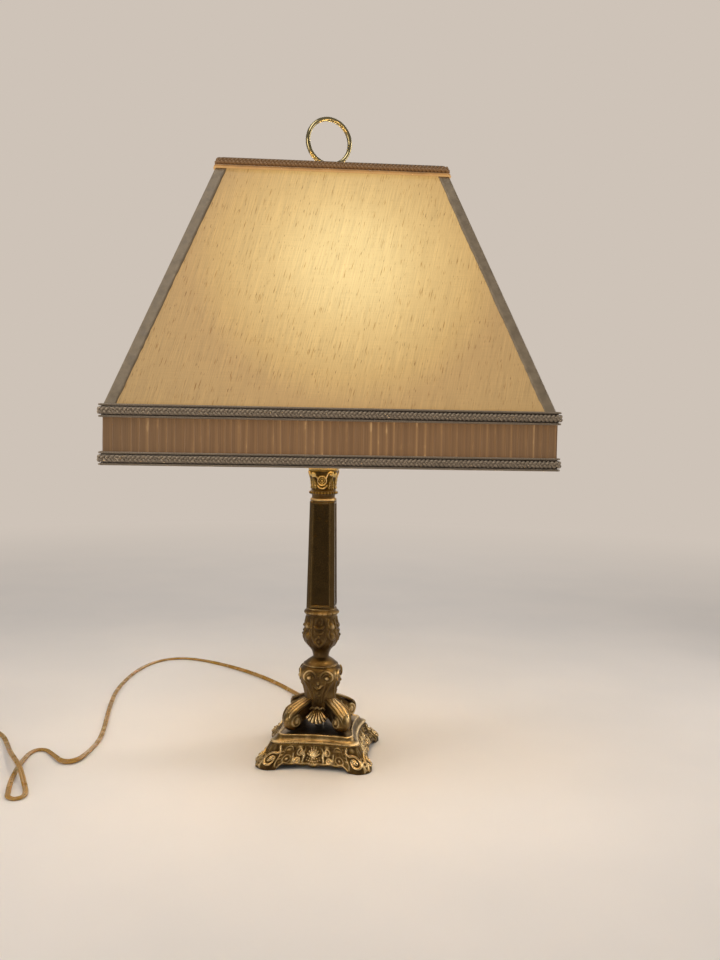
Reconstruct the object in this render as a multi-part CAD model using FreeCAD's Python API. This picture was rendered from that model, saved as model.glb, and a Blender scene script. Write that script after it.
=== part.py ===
"""Table lamp: a square cast-brass candlestick base, a harp and a pyramid fabric shade with a ring finial.

Millimetres, +Z up. The origin is on the surface the lamp stands on, below the centre of the base.
The shade is square to X and Y. The cast body is turned a little about Z, as the lamp was assembled.
"""
import FreeCAD, Part
import math
import os

V = FreeCAD.Vector
UP = V(0, 0, 1)
ORIGIN = V(0, 0, 0)

# ---------------------------------------------------------------- driving dimensions
BODY_TURN = -9.7            # degrees, the cast body against the shade, about Z

BASE_HALF = 58.0            # half the width of the base over its feet
APRON_Z = 6.0               # underside of the base between the feet
FRIEZE_TOP = 22.5           # top of the ornamented frieze
OVOLO_TOP = 28.5            # top of the plain moulding
BASE_TOP = 30.5             # platform on which the pedestal stands
FOOT_PAD = 3.0              # solid thickness of the four corner feet

PEDESTAL_TOP = 95.0
COLLAR_TOP = 104.0
URN_TOP = 156.5
COLUMN_TOP = 268.0
ASTRAGAL_TOP = 275.0
CAPITAL_TOP = 305.0
CUP_TOP = 338.0

COLUMN_HALF_LOW = 14.6
COLUMN_HALF_HIGH = 12.75
COLUMN_CHAMFER = 3.2

ROD_R = 4.85                # 1/8 IP lamp pipe
ROD_BORE_R = 3.3
ROD_HOLE_R = 5.0            # hole in everything threaded on the rod
ROD_LOW = 12.5
ROD_HIGH = 348.0

HARP_WIRE_R = 1.8
HARP_LEG_X = 24.0
HARP_BULGE_X = 55.0
HARP_TOP = 567.0
STUD_R = 3.175              # 1/4-27 finial thread
STUD_HOLE_R = 3.25

SHADE_LOW = 311.5
SHADE_MID = 362.5
SHADE_TOP = 588.5
SHADE_HALF_LOW = 191.0      # outside of the pleated band
SHADE_HALF_MID = 189.0      # outside of the fabric where the pyramid starts
SHADE_HALF_TOP = 101.5
TRIM_H = 11.5
TRIM_T = 3.8
FABRIC_T = 0.9
LINING_GAP = 0.7
LINING_T = 0.6
WIRE_R = 1.4                # shade frame wire

SPIDER_Z = 572.0            # underside of the spider's washer
SPIDER_T = 2.0

RING_Z = 635.0              # centre of the finial's ring
RING_R = 22.7               # ring, to the middle of its section
RING_RADIAL = 2.3           # half the section, outwards
RING_WIDE = 3.1             # half the section, across
RING_TURN = 18.0
FINIAL_LOW = SPIDER_Z + SPIDER_T

SOCKET_LOW = 339.5
SOCKET_TOP = 402.0
SHELL_R = 16.8
BULB_LOW = 379.5
BULB_R = 30.0
BULB_Z = 459.0
BULB_TOP = 489.0

CORD_WIDE = 5.2             # flat twin lead, 5.2 x 2.7
CORD_R = 2.0                # round bar of the same section as the flat lead
COIL_X, COIL_Y = -398.0, 61.0
COIL_R = 31.0               # middle of the coil's turns
COIL_START = 90.0           # degrees
COIL_TURNS = 2.25
PLUG_Z = 6.5

# Middle of the free lead from the bushing in the base to the coil. z = CORD_R lies on the surface.
# The loop near the end crosses over itself, so the second pass rises over the first.
CORD_ROUTE = [
    (9.0, 52.4, 12.5), (14.0, 84.0, 7.0), (12.0, 124.0, 2.0), (-2.0, 166.0, 2.0), (-22.0, 206.0, 2.0),
    (-50.0, 260.0, 2.0), (-85.0, 311.0, 2.0), (-124.0, 355.0, 2.0), (-163.0, 387.0, 2.0),
    (-196.0, 394.0, 2.0), (-222.0, 374.0, 2.0), (-239.0, 334.0, 2.0), (-248.0, 282.0, 2.0),
    (-252.0, 228.0, 2.0), (-249.0, 174.0, 2.0), (-244.0, 122.0, 2.0), (-239.0, 76.0, 2.0),
    (-237.0, 40.0, 2.0), (-240.0, 12.0, 2.0), (-243.5, -9.0, 2.0), (-246.5, -22.0, 2.0),
    (-253.5, -29.0, 2.0), (-262.5, -26.0, 2.0), (-270.5, -12.5, 2.0), (-279.5, 2.0, 2.0),
    (-286.5, 11.5, 2.0), (-295.5, 12.5, 2.0), (-300.5, 3.0, 2.0), (-302.0, -14.0, 2.0),
    (-301.5, -42.0, 2.0), (-299.0, -69.0, 2.0), (-295.5, -91.0, 2.0), (-292.3, -104.0, 2.0),
    (-289.5, -113.3, 2.0), (-282.8, -115.3, 2.0), (-277.7, -110.6, 2.0), (-279.8, -100.0, 2.0),
    (-284.0, -85.0, 2.6), (-289.0, -70.0, 6.0), (-296.5, -52.0, 8.5), (-307.0, -31.0, 8.5),
    (-320.0, -2.0, 5.5), (-331.5, 30.0, 2.0), (-344.5, 60.0, 2.0), (-367.0, 85.0, 2.0),
    (-398.0, 92.0, 2.0),
]
# From the top of the coil down to the plug, which lies beside the coil.
TAIL_ROUTE = [
    (-429.0, 61.0, 13.7), (-430.0, 45.0, 12.6), (-430.5, 29.0, 9.6), (-430.0, 13.0, 7.0),
    (-429.0, -1.0, 6.5),
]


# ---------------------------------------------------------------- small tools
def save(name, *solids, turned=False):
    """One node: its solids together, turned with the cast body where it belongs to it."""
    shape = solids[0] if len(solids) == 1 else Part.makeCompound(list(solids))
    if turned:
        shape = shape.copy()
        shape.rotate(ORIGIN, UP, BODY_TURN)
    if not shape.isValid():
        print("NOT VALID", name)
    shape.exportStep(f"parts/{name}.step")
    print(f"{name:24s} {len(shape.Solids)} solid(s) {shape.Volume / 1000:9.2f} cm3")


def cyl(radius, low, high, x=0.0, y=0.0):
    return Part.makeCylinder(radius, high - low, V(x, y, low), UP)


def tube(outer, inner, low, high):
    return cyl(outer, low, high).cut(cyl(inner, low - 1, high + 1))


def box(x, y, z):
    """A box from three (low, high) pairs."""
    return Part.makeBox(x[1] - x[0], y[1] - y[0], z[1] - z[0], V(x[0], y[0], z[0]))


def lathe(points):
    """A solid of revolution about Z. Points are (radius, z); three-number points start a smooth run."""
    face = Part.Face(Part.makePolygon([V(r, 0, z) for r, z in points + points[:1]]))
    return face.revolve(ORIGIN, UP, 360)


def smooth_lathe(outside, bore):
    """Revolve a smooth outside curve, given by (radius, z) points going up, around a straight bore."""
    curve = Part.BSplineCurve()
    curve.interpolate([V(r, 0, z) for r, z in outside])
    low, high = outside[0], outside[-1]
    rim = [curve.toShape()]
    for a, b in (((high[0], high[1]), (bore, high[1])), ((bore, high[1]), (bore, low[1])),
                 ((bore, low[1]), (low[0], low[1]))):
        rim.append(Part.makeLine(V(a[0], 0, a[1]), V(b[0], 0, b[1])))
    return Part.Face(Part.Wire(rim)).revolve(ORIGIN, UP, 360)


def turned_about_z(shape, degrees):
    copy = shape.copy()
    copy.rotate(ORIGIN, UP, degrees)
    return copy


def around(shape, count=4):
    """The shape and its copies at equal steps about Z."""
    return [turned_about_z(shape, 360.0 / count * k) for k in range(count)]


def plan(half, bow, corner, z):
    """A square with hollow sides and cut, rounded corners, as one closed wire at height z."""
    edges = []
    for k in range(4):
        a = V(-half + corner, -half, z)
        b = V(half - corner, -half, z)
        c = V(half, -half + corner, z)
        mid = V(0, -half + bow, z)
        tip = V(half - 0.3 * corner, -half + 0.3 * corner, z)
        side = [Part.Arc(a, mid, b).toShape(), Part.Arc(b, tip, c).toShape()]
        edges += [turned_about_z(edge, 90 * k) for edge in side]
    return Part.Wire(Part.__sortEdges__(edges))


def stack(sections):
    """A smooth solid through (half, bow, corner, z) plans."""
    return Part.makeLoft([plan(*s) for s in sections], True, False)


def polyhedron(faces):
    made = [Part.Face(Part.makePolygon(list(f) + [f[0]])) for f in faces]
    return Part.makeSolid(Part.makeShell(made))


def wall(low, half_low, high, half_high, thick):
    """The -Y side of a four-sided wall, mitred at its ends: outer half widths at its two heights."""
    def corner(half, z, inner):
        h = half - (thick if inner else 0.0)
        return V(-h, -h, z), V(h, -h, z)
    a, b = corner(half_low, low, False)
    c, d = corner(half_low, low, True)
    e, f = corner(half_high, high, False)
    g, h = corner(half_high, high, True)
    return polyhedron([(a, b, f, e), (c, g, h, d), (a, c, d, b), (e, f, h, g), (a, e, g, c), (b, d, h, f)])


def mitred_rod(half, z, radius):
    """The -Y rod of a square wire ring, cut square to its neighbours."""
    rod = Part.makeCylinder(radius, 2 * half + 4 * radius, V(-half - 2 * radius, -half, z), V(1, 0, 0))
    far = half + 4 * radius
    wedge = Part.Face(Part.makePolygon([V(0, 0, z - 5), V(-far, -far, z - 5), V(far, -far, z - 5),
                                        V(0, 0, z - 5)])).extrude(V(0, 0, 10))
    return rod.common(wedge)


def rod_between(a, b, radius):
    return Part.makeCylinder(radius, (b - a).Length, a, b - a)


def soft_path(points, share=0.45):
    """Straight runs joined by the largest tangent arcs that each pair of runs allows."""
    points = [V(*p) for p in points]
    edges, radii, here = [], [], points[0]
    for before, at, after in zip(points, points[1:], points[2:]):
        run_in = (at - before)
        run_out = (after - at)
        turn = run_in.getAngle(run_out)
        shorter = min(run_in.Length, run_out.Length)
        reach = share * shorter
        start = at - run_in.normalize() * reach
        end = at + run_out.normalize() * reach
        radius = reach / math.tan(turn / 2)
        radii.append(radius)
        to_centre = (start + end) * 0.5 - at
        sag = math.sqrt(radius ** 2 + reach ** 2) - radius
        middle = at + to_centre.normalize() * sag
        edges.append(Part.LineSegment(here, start).toShape())
        edges.append(Part.Arc(start, middle, end).toShape())
        here = end
    edges.append(Part.LineSegment(here, points[-1]).toShape())
    return Part.Wire(edges), radii


def lead(points, radius):
    """A round bar along a soft path, and the path's length."""
    path, radii = soft_path(points)
    first = V(*points[0])
    direction = V(*points[1]) - first
    profile = Part.Wire(Part.makeCircle(radius, first, direction))
    bar = path.makePipeShell([profile], True, False)
    section = math.pi * radius ** 2
    print(f"lead {path.Length:7.1f} mm, smallest radius {min(radii):5.1f}, "
          f"volume / (section x length) {bar.Volume / section / path.Length:.4f}")
    print("radii " + " ".join(f"{r:.0f}" for r in radii))
    return bar, path.Length


# ---------------------------------------------------------------- cast body
def base_casting():
    outer = stack([(58.0, 7.0, 15.0, 0.0), (57.0, 7.0, 14.5, 5.0), (51.5, 6.0, 12.0, 13.0),
                   (45.5, 4.5, 9.5, FRIEZE_TOP)])
    ovolo = stack([(46.0, 4.5, 9.0, FRIEZE_TOP), (44.5, 4.2, 8.5, 26.0), (38.0, 3.2, 7.0, OVOLO_TOP)])
    fillet = stack([(36.5, 3.0, 6.5, OVOLO_TOP), (36.5, 3.0, 6.5, BASE_TOP)])
    inner = stack([(54.0, 7.0, 14.0, FOOT_PAD), (53.6, 7.0, 13.8, 6.0), (48.3, 6.0, 11.5, 13.0),
                   (42.3, 4.5, 9.0, FRIEZE_TOP), (39.0, 4.0, 8.0, 25.0)])
    casting = outer.fuse(ovolo).fuse(fillet).cut(inner)
    arch = Part.Face(Part.makePolygon([V(-33, -70, -2), V(-29, -70, 4.5), (V(0, -70, APRON_Z)), V(29, -70, 4.5),
                                       V(33, -70, -2), V(-33, -70, -2)])).extrude(V(0, 140, 0))
    for cutter in (arch, turned_about_z(arch, 90)):
        casting = casting.cut(cutter)
    rod_hole = cyl(ROD_HOLE_R, 20, 40)
    lead_hole = Part.makeCylinder(4.0, 30, V(0, 35, 12.5), V(0, 1, 0))
    casting = casting.cut(rod_hole).cut(lead_hole)
    save("base_casting", casting.removeSplitter(), turned=True)


def base_fittings():
    """Ballast, nut and washer on the rod, the felt cover that closes the base and the lead's bushing."""
    save("base_weight", tube(33.0, ROD_HOLE_R, 19.0, 25.0), turned=True)
    save("rod_washer", tube(13.0, ROD_HOLE_R, 17.5, 19.0), turned=True)
    hexagon = [V(9.5 * math.cos(math.radians(60 * k)), 9.5 * math.sin(math.radians(60 * k)), 13.5)
               for k in range(7)]
    nut = Part.Face(Part.makePolygon(hexagon)).extrude(V(0, 0, 4)).cut(cyl(ROD_R + 0.05, 10, 20))
    save("rod_nut", nut, turned=True)
    cover = stack([(51.4, 6.8, 12.8, 6.4), (51.0, 6.8, 12.6, 7.6)])
    save("base_cover", cover, turned=True)
    along = V(0, 1, 0)
    flange = Part.makeCylinder(5.6, 3.0, V(0, 49.2, 12.5), along)
    barrel = Part.makeCylinder(3.95, 10.0, V(0, 40.0, 12.5), along)
    bore = Part.makeCylinder(CORD_R + 0.25, 20, V(0, 36, 12.5), along)
    save("lead_bushing", flange.fuse(barrel).cut(bore), turned=True)


def scroll_foot():
    """One of the four scrolled legs under the pedestal, on the +X +Y diagonal."""
    outline = [V(12, -7, 68), V(19, -7, 62), V(27, -7, 56), V(37, -7, 54.5), V(43.5, -7, 50), V(46, -7, 43),
               V(44.5, -7, 35.5), V(39.5, -7, 30.5), V(32, -7, 30.5), V(27.5, -7, 34), V(24, -7, 41),
               V(15, -7, 44), V(12, -7, 44)]
    curve = Part.BSplineCurve()
    curve.interpolate(outline)
    closing = Part.makeLine(outline[-1], outline[0])
    leg = Part.Face(Part.Wire([curve.toShape(), closing])).extrude(V(0, 14, 0))
    return turned_about_z(leg, 45)


def palmette():
    """The fluted shell between two scrolled legs, on the -Y side."""
    disc = Part.makeCylinder(10.5, 4.0, V(0, -29.0, 46.0), V(0, 1, -0.15))
    keep = box((-12, 12), (-35, -15), (38.4, 60))
    return disc.common(keep)


def pedestal_casting():
    knop = smooth_lathe([(16.0, 40.0), (16.6, 50.0), (17.4, 62.0), (18.6, 69.0), (22.4, 76.0), (22.9, 80.0),
                         (21.8, 88.0), (18.2, 93.6), (17.9, PEDESTAL_TOP)], ROD_HOLE_R)
    casting = knop.fuse(around(scroll_foot()) + around(palmette()))
    casting = casting.fuse(lathe([(ROD_HOLE_R, 40.0), (27.0, 40.0), (25.0, 50.0), (ROD_HOLE_R, 56.0)]))
    below = box((-80, 80), (-80, 80), (0, BASE_TOP))
    casting = casting.cut([cyl(ROD_HOLE_R, 20, 120), cyl(12.5, 39, PEDESTAL_TOP - 7), below])
    save("pedestal_casting", casting, turned=True)


def turned_parts():
    """The spun and turned pieces stacked on the rod between the pedestal and the harp."""
    collar = smooth_lathe([(18.0, PEDESTAL_TOP), (18.0, 96.2), (14.2, 99.5), (9.2, 102.6), (8.3, COLLAR_TOP)],
                          ROD_HOLE_R)
    save("dome_collar", collar, turned=True)
    body = smooth_lathe([(8.3, COLLAR_TOP), (8.4, 106.5), (10.4, 110.8), (15.6, 116.7), (19.3, 123.5),
                         (19.4, 128.0), (18.4, 136.0), (16.8, 143.0), (16.4, 147.4)], ROD_HOLE_R)
    lappets = lathe([(ROD_HOLE_R, 147.4), (16.2, 147.4), (17.1, 149.5), (17.1, 153.0), (15.6, 155.2),
                     (14.8, URN_TOP), (ROD_HOLE_R, URN_TOP)])
    hollow = lathe([(0, 112.0), (6.0, 112.0), (12.5, 120.0), (12.5, 142.0), (9.0, 146.0), (0, 146.0)])
    save("urn_casting", body.fuse(lappets).cut(hollow), turned=True)
    astragal = smooth_lathe([(12.2, COLUMN_TOP), (13.3, 269.2), (13.6, 271.4), (13.0, 273.6),
                             (12.4, ASTRAGAL_TOP)], ROD_HOLE_R)
    save("column_astragal", astragal, turned=True)
    bell = lathe([(ROD_HOLE_R, ASTRAGAL_TOP), (12.6, ASTRAGAL_TOP), (14.6, 276.0), (14.6, 278.0),
                  (12.8, 279.6), (12.9, 288.0), (14.2, 296.0), (15.2, 299.5), (15.2, CAPITAL_TOP - 4),
                  (ROD_HOLE_R, CAPITAL_TOP - 4)])
    abacus = box((-15.5, 15.5), (-15.5, 15.5), (CAPITAL_TOP - 4, CAPITAL_TOP)).cut(cyl(ROD_HOLE_R, 290, 310))
    save("capital", bell.fuse(abacus), turned=True)
    cup = smooth_lathe([(14.0, CAPITAL_TOP), (14.4, 307.0), (10.0, 312.0), (7.6, 320.0), (8.6, 330.0),
                        (12.8, 335.6), (13.2, CUP_TOP)], ROD_HOLE_R)
    save("vase_cup", cup, turned=True)


def octagon(half, chamfer, z):
    points = []
    for k in range(4):
        for x, y in ((-half + chamfer, -half), (half - chamfer, -half)):
            a = math.radians(90 * k)
            points.append(V(x * math.cos(a) - y * math.sin(a), x * math.sin(a) + y * math.cos(a), z))
    return Part.makePolygon(points + points[:1])


def column():
    """A tapered square column with cut corners and a long sunk panel on each face."""
    shaft = Part.makeLoft([octagon(COLUMN_HALF_LOW, COLUMN_CHAMFER, URN_TOP),
                           octagon(COLUMN_HALF_HIGH, COLUMN_CHAMFER, COLUMN_TOP)], True, True)
    lean = (COLUMN_HALF_LOW - COLUMN_HALF_HIGH) / (COLUMN_TOP - URN_TOP)
    low, high, sunk, rim = URN_TOP + 8, COLUMN_TOP - 8, 0.9, COLUMN_CHAMFER + 2.2
    sections = []
    for z in (low, high):
        half = COLUMN_HALF_LOW - lean * (z - URN_TOP)
        sections.append(Part.makePolygon([V(-half + rim, -half + sunk, z), V(half - rim, -half + sunk, z),
                                          V(half - rim, -half - 2, z), V(-half + rim, -half - 2, z),
                                          V(-half + rim, -half + sunk, z)]))
    panel = Part.makeLoft(sections, True, True)
    for cutter in around(panel):
        shaft = shaft.cut(cutter)
    shaft = shaft.cut(cyl(ROD_HOLE_R, 150, 280)).cut(cyl(9.0, URN_TOP + 4, COLUMN_TOP - 4))
    save("column", shaft, turned=True)


# ---------------------------------------------------------------- rod, harp and socket
def rod_and_wires():
    save("threaded_rod", tube(ROD_R, ROD_BORE_R, ROD_LOW, ROD_HIGH), turned=True)
    wires = []
    for side in (-1, 1):
        route = [(1.15 * side, y, z) for y, z in ((40.0, 12.5), (22.0, 10.0), (4.2, 9.0), (0.0, 14.0), (0.0, 36.0))]
        low, _ = lead(route, 0.95)
        wires.append(low.fuse(cyl(0.95, 36.0, 355.0, x=1.15 * side)))
    save("lead_wires", *wires, turned=True)


def harp_parts():
    """Saddle under the socket, bent wire harp, two locking ferrules and the swivel stud for the shade."""
    strap = box((-HARP_LEG_X - 3, HARP_LEG_X + 3), (-6, 6), (CUP_TOP, SOCKET_LOW))
    strap = strap.cut(cyl(ROD_HOLE_R, 330, 345))
    posts = [cyl(HARP_WIRE_R, SOCKET_LOW, 351.0, x=side * HARP_LEG_X) for side in (-1, 1)]
    save("harp_saddle", strap.fuse(posts), turned=True)

    right = [(HARP_LEG_X, 0, 351.0), (HARP_LEG_X, 0, 384.0), (HARP_BULGE_X, 0, 424.0),
             (HARP_BULGE_X, 0, 488.0), (40.0, 0, 540.0), (17.0, 0, HARP_TOP - HARP_WIRE_R),
             (0.0, 0, HARP_TOP - HARP_WIRE_R)]
    route = right + [(-x, y, z) for x, y, z in reversed(right[:-1])]
    path, radii = soft_path([p for p in route if p[0] != 0.0])
    profile = Part.Wire(Part.makeCircle(HARP_WIRE_R, V(HARP_LEG_X, 0, 351.0), UP))
    wire = path.makePipeShell([profile], True, False)
    eye = cyl(7.0, HARP_TOP - 3.6, HARP_TOP)
    harp = wire.fuse(eye).cut(cyl(STUD_R + 0.05, 550, 580))
    save("harp", harp, turned=True)
    print("harp radii " + " ".join(f"{r:.0f}" for r in radii))

    stud = cyl(STUD_R, HARP_TOP - 6.0, SPIDER_Z + 16.0).fuse(cyl(7.5, HARP_TOP, SPIDER_Z - 0.05))
    stud = stud.fuse(cyl(4.3, HARP_TOP - 5.8, HARP_TOP - 3.8))
    save("harp_stud", stud, turned=True)
    for side, name in ((-1, "harp_ferrule_left"), (1, "harp_ferrule_right")):
        sleeve = tube(3.4, HARP_WIRE_R + 0.08, SOCKET_LOW + 1.0, SOCKET_LOW + 17.0)
        bead = tube(4.2, HARP_WIRE_R + 0.08, SOCKET_LOW + 1.0, SOCKET_LOW + 3.5)
        ferrule = sleeve.fuse(bead)
        ferrule.translate(V(side * HARP_LEG_X, 0, 0))
        save(name, ferrule, turned=True)


def socket_parts():
    cap = lathe([(ROD_HOLE_R, SOCKET_LOW), (8.5, SOCKET_LOW), (8.5, 344.5), (17.5, 351.0), (17.9, 353.0),
                 (17.9, 360.0), (17.2, 360.0), (17.2, 353.2), (8.0, 346.4), (ROD_HOLE_R, 346.4)])
    save("socket_cap", cap, turned=True)
    front = V(0, -1, 0)
    shaft_hole = Part.makeCylinder(1.9, 40, V(0, 0, 368.0), front)
    shell = lathe([(16.2, 354.0), (SHELL_R, 354.0), (SHELL_R, 398.0), (17.5, 399.5), (17.5, SOCKET_TOP),
                   (16.8, SOCKET_TOP), (16.2, 400.5)])
    save("socket_shell", shell.cut(shaft_hole), turned=True)
    save("socket_insulator", tube(16.0, 15.5, 355.0, 399.5).cut(shaft_hole), turned=True)
    body = cyl(15.2, 357.0, 376.0).cut(shaft_hole)
    save("socket_body", body.cut(cyl(2.6, 350, 365)), turned=True)
    save("socket_screw_shell", tube(14.2, 13.6, 376.0, 397.0), turned=True)
    save("socket_contact", box((-3.0, 3.0), (-3.0, 3.0), (376.0, 378.6)), turned=True)
    shaft = Part.makeCylinder(1.8, 12.0, V(0, -12.0, 368.0), front)
    grip = Part.makeCylinder(4.2, 13.0, V(0, -24.0, 368.0), front)
    for k in range(6):
        a = math.radians(60 * k)
        flute = Part.makeCylinder(1.2, 14.0, V(4.9 * math.cos(a), -25.5, 368.0 + 4.9 * math.sin(a)), front)
        grip = grip.cut(flute)
    save("switch_knob", shaft.fuse(grip), turned=True)


def bulb_parts():
    base = lathe([(0, 381.0), (6.0, 381.0), (12.2, 384.5), (13.2, 386.0), (13.2, 404.0), (0, 404.0)])
    save("bulb_base", base, turned=True)
    save("bulb_contact", cyl(4.6, BULB_LOW, 381.0), turned=True)
    outside = [(13.0, 404.0), (15.2, 414.0), (21.5, 430.0), (28.2, 446.0), (BULB_R, BULB_Z), (27.5, 473.0),
               (17.5, 485.0), (0.0, BULB_TOP)]
    curve = Part.BSplineCurve()
    curve.interpolate([V(r, 0, z) for r, z in outside], InitialTangent=V(0, 0, 1), FinalTangent=V(-1, 0, 0))
    half = Part.Face(Part.Wire([curve.toShape(), Part.makeLine(V(0, 0, BULB_TOP), V(0, 0, 404.0)),
                                Part.makeLine(V(0, 0, 404.0), V(13.0, 0, 404.0))]))
    glass = half.revolve(ORIGIN, UP, 360)
    hollow = glass.copy()
    hollow.scale(0.955, V(0, 0, 430.0))
    save("bulb_glass", glass.cut(hollow), turned=True)
    stem = lathe([(0, 406.0), (6.5, 406.0), (3.2, 414.0), (2.6, 436.0), (0, 438.0)])
    filament = rod_between(V(-11, 0, 452), V(11, 0, 452), 0.6)
    posts = [rod_between(V(side * 1.5, 0, 436), V(side * 10.5, 0, 452), 0.4) for side in (-1, 1)]
    save("bulb_filament", stem.fuse([filament] + posts), turned=True)


# ---------------------------------------------------------------- shade
def fabric_half(z):
    """Outside half width of the pyramid's fabric at height z."""
    share = (z - SHADE_MID) / (SHADE_TOP - SHADE_MID)
    return SHADE_HALF_MID + share * (SHADE_HALF_TOP - SHADE_HALF_MID)


def panels():
    low, high = SHADE_MID - 2.0, SHADE_TOP - 1.0
    sides = ("front", "right", "back", "left")
    fabric = wall(low, fabric_half(low), high, fabric_half(high), FABRIC_T)
    for side, solid in zip(sides, around(fabric)):
        save("shade_panel_" + side, solid)
    inset = FABRIC_T + LINING_GAP
    lining = wall(low, fabric_half(low) - inset, high, fabric_half(high) - inset, LINING_T)
    save("shade_lining", *around(lining))
    band = wall(SHADE_LOW + 0.5, SHADE_HALF_LOW, SHADE_MID - 1.0, SHADE_HALF_LOW, 1.2)
    for side, solid in zip(sides, around(band)):
        save("pleated_band_" + side, solid)


def trims():
    """Braided gimp round the top, the middle and the bottom, and bias binding down the corners."""
    outer = SHADE_HALF_LOW + TRIM_T
    save("braid_bottom", *around(wall(SHADE_LOW, outer, SHADE_LOW + TRIM_H, outer, TRIM_T)))
    save("braid_middle", *around(wall(SHADE_MID - TRIM_H, outer, SHADE_MID, outer, TRIM_T)))
    low = SHADE_TOP - TRIM_H
    save("braid_top", *around(wall(low, fabric_half(low) + TRIM_T, SHADE_TOP, fabric_half(SHADE_TOP) + TRIM_T,
                                   TRIM_T)))
    thick, leg = 0.8, 9.0
    sections = []
    for z in (SHADE_MID + 0.2, low - 0.2):
        h = fabric_half(z)
        out = h + thick
        sections.append(Part.makePolygon([V(out, -out, z), V(out, -h + leg, z), V(h, -h + leg, z), V(h, -h, z),
                                          V(h - leg, -h, z), V(h - leg, -out, z), V(out, -out, z)]))
    save("corner_bindings", *around(Part.makeLoft(sections, True, True)))


def shade_frame():
    inset = FABRIC_T + LINING_GAP + LINING_T
    top_z, mid_z, low_z = SHADE_TOP - 4.0, SHADE_MID + 3.0, SHADE_LOW + 3.0
    top_half = fabric_half(top_z + WIRE_R) - inset - WIRE_R
    mid_half = fabric_half(mid_z + WIRE_R) - inset - WIRE_R
    low_half = SHADE_HALF_LOW - 1.2 - WIRE_R
    save("frame_ring_top", *around(mitred_rod(top_half, top_z, WIRE_R)))
    save("frame_ring_middle", *around(mitred_rod(mid_half, mid_z, WIRE_R)))
    save("frame_ring_bottom", *around(mitred_rod(low_half, low_z, WIRE_R)))
    drop = 1.5 * WIRE_R
    rib = rod_between(V(mid_half - drop, -mid_half + drop, mid_z + 1.6), V(top_half - drop, -top_half + drop,
                                                                          top_z - 2.0), WIRE_R)
    stay = rod_between(V(low_half - 0.2, -low_half + 0.2, low_z + 1.5), V(low_half - 0.2, -low_half + 0.2,
                                                                         mid_z - 5.0), WIRE_R)
    save("frame_ribs", *around(rib))
    save("frame_stays", *around(stay))
    save("spider_washer", tube(10.0, STUD_HOLE_R, SPIDER_Z, SPIDER_Z + SPIDER_T))
    start = V(10.2, 0, SPIDER_Z + 1.0)
    end = V(top_half - WIRE_R - 0.1, 0, top_z)
    arm = rod_between(start, end, WIRE_R)
    save("spider_arms", *around(arm))


def finial_parts():
    insert = tube(4.4, STUD_HOLE_R, FINIAL_LOW + 0.6, FINIAL_LOW + 14.4)
    save("finial_insert", insert)
    stem = lathe([(4.5, FINIAL_LOW), (8.0, FINIAL_LOW), (8.6, 576.5), (7.8, 580.0), (6.0, 583.0),
                  (6.2, 588.0), (4.0, 591.0), (3.2, 600.0), (4.6, 604.5), (5.4, 607.0), (4.4, 611.0),
                  (0.0, 612.5), (0.0, FINIAL_LOW + 15.0), (4.5, FINIAL_LOW + 15.0)])
    section = Part.Ellipse(V(RING_R, RING_WIDE, RING_Z), V(RING_R + RING_RADIAL, 0, RING_Z), V(RING_R, 0, RING_Z))
    ring = Part.Face(Part.Wire(section.toShape())).revolve(V(0, 0, RING_Z), V(0, 1, 0), 360)
    save("finial", turned_about_z(stem.fuse(ring), RING_TURN))


# ---------------------------------------------------------------- free lead and plug
def lead_parts():
    high = CORD_R + COIL_TURNS * CORD_WIDE + 2.6
    coil = tube(COIL_R + 3.0, COIL_R - 3.0, 0.0, high)
    coil.translate(V(COIL_X, COIL_Y, 0))
    run, run_length = lead(CORD_ROUTE, CORD_R)
    tail, tail_length = lead(TAIL_ROUTE, CORD_R)
    save("cord_run", run.cut(coil))
    save("cord_coil", coil)
    turns = 2 * math.pi * COIL_R * COIL_TURNS
    print(f"lead {run_length + turns + tail_length:.0f} mm in all, {turns:.0f} of them coiled")

    x, y = TAIL_ROUTE[-1][:2]
    body = box((x - 11, x + 11), (y - 38, y - 12), (PLUG_Z - 6.3, PLUG_Z + 6.3))
    body = body.makeFillet(3.0, [e for e in body.Edges if abs(e.Length - 26.0) < 0.1])
    relief = Part.makeCone(3.4, 5.6, 14.0, V(x, y + 2.0, PLUG_Z), V(0, -1, 0))
    plug = body.fuse(relief).cut(cyl(0.1, 90, 91))
    save("plug_body", plug)
    save("cord_tail", tail.cut(coil).cut(plug))
    blades = [box((x + side * 6.35 - 0.75, x + side * 6.35 + 0.75), (y - 55.0, y - 38.0),
                  (PLUG_Z - 3.2, PLUG_Z + 3.2)) for side in (-1, 1)]
    save("plug_blades", *blades)


os.makedirs("parts", exist_ok=True)
base_casting()
base_fittings()
pedestal_casting()
turned_parts()
column()
rod_and_wires()
harp_parts()
socket_parts()
bulb_parts()
panels()
trims()
shade_frame()
finial_parts()
lead_parts()
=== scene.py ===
"""A brass table lamp with a square fabric shade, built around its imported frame. Metres throughout."""
import math

import bpy
import numpy as np
from mathutils import Matrix, Vector


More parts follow.
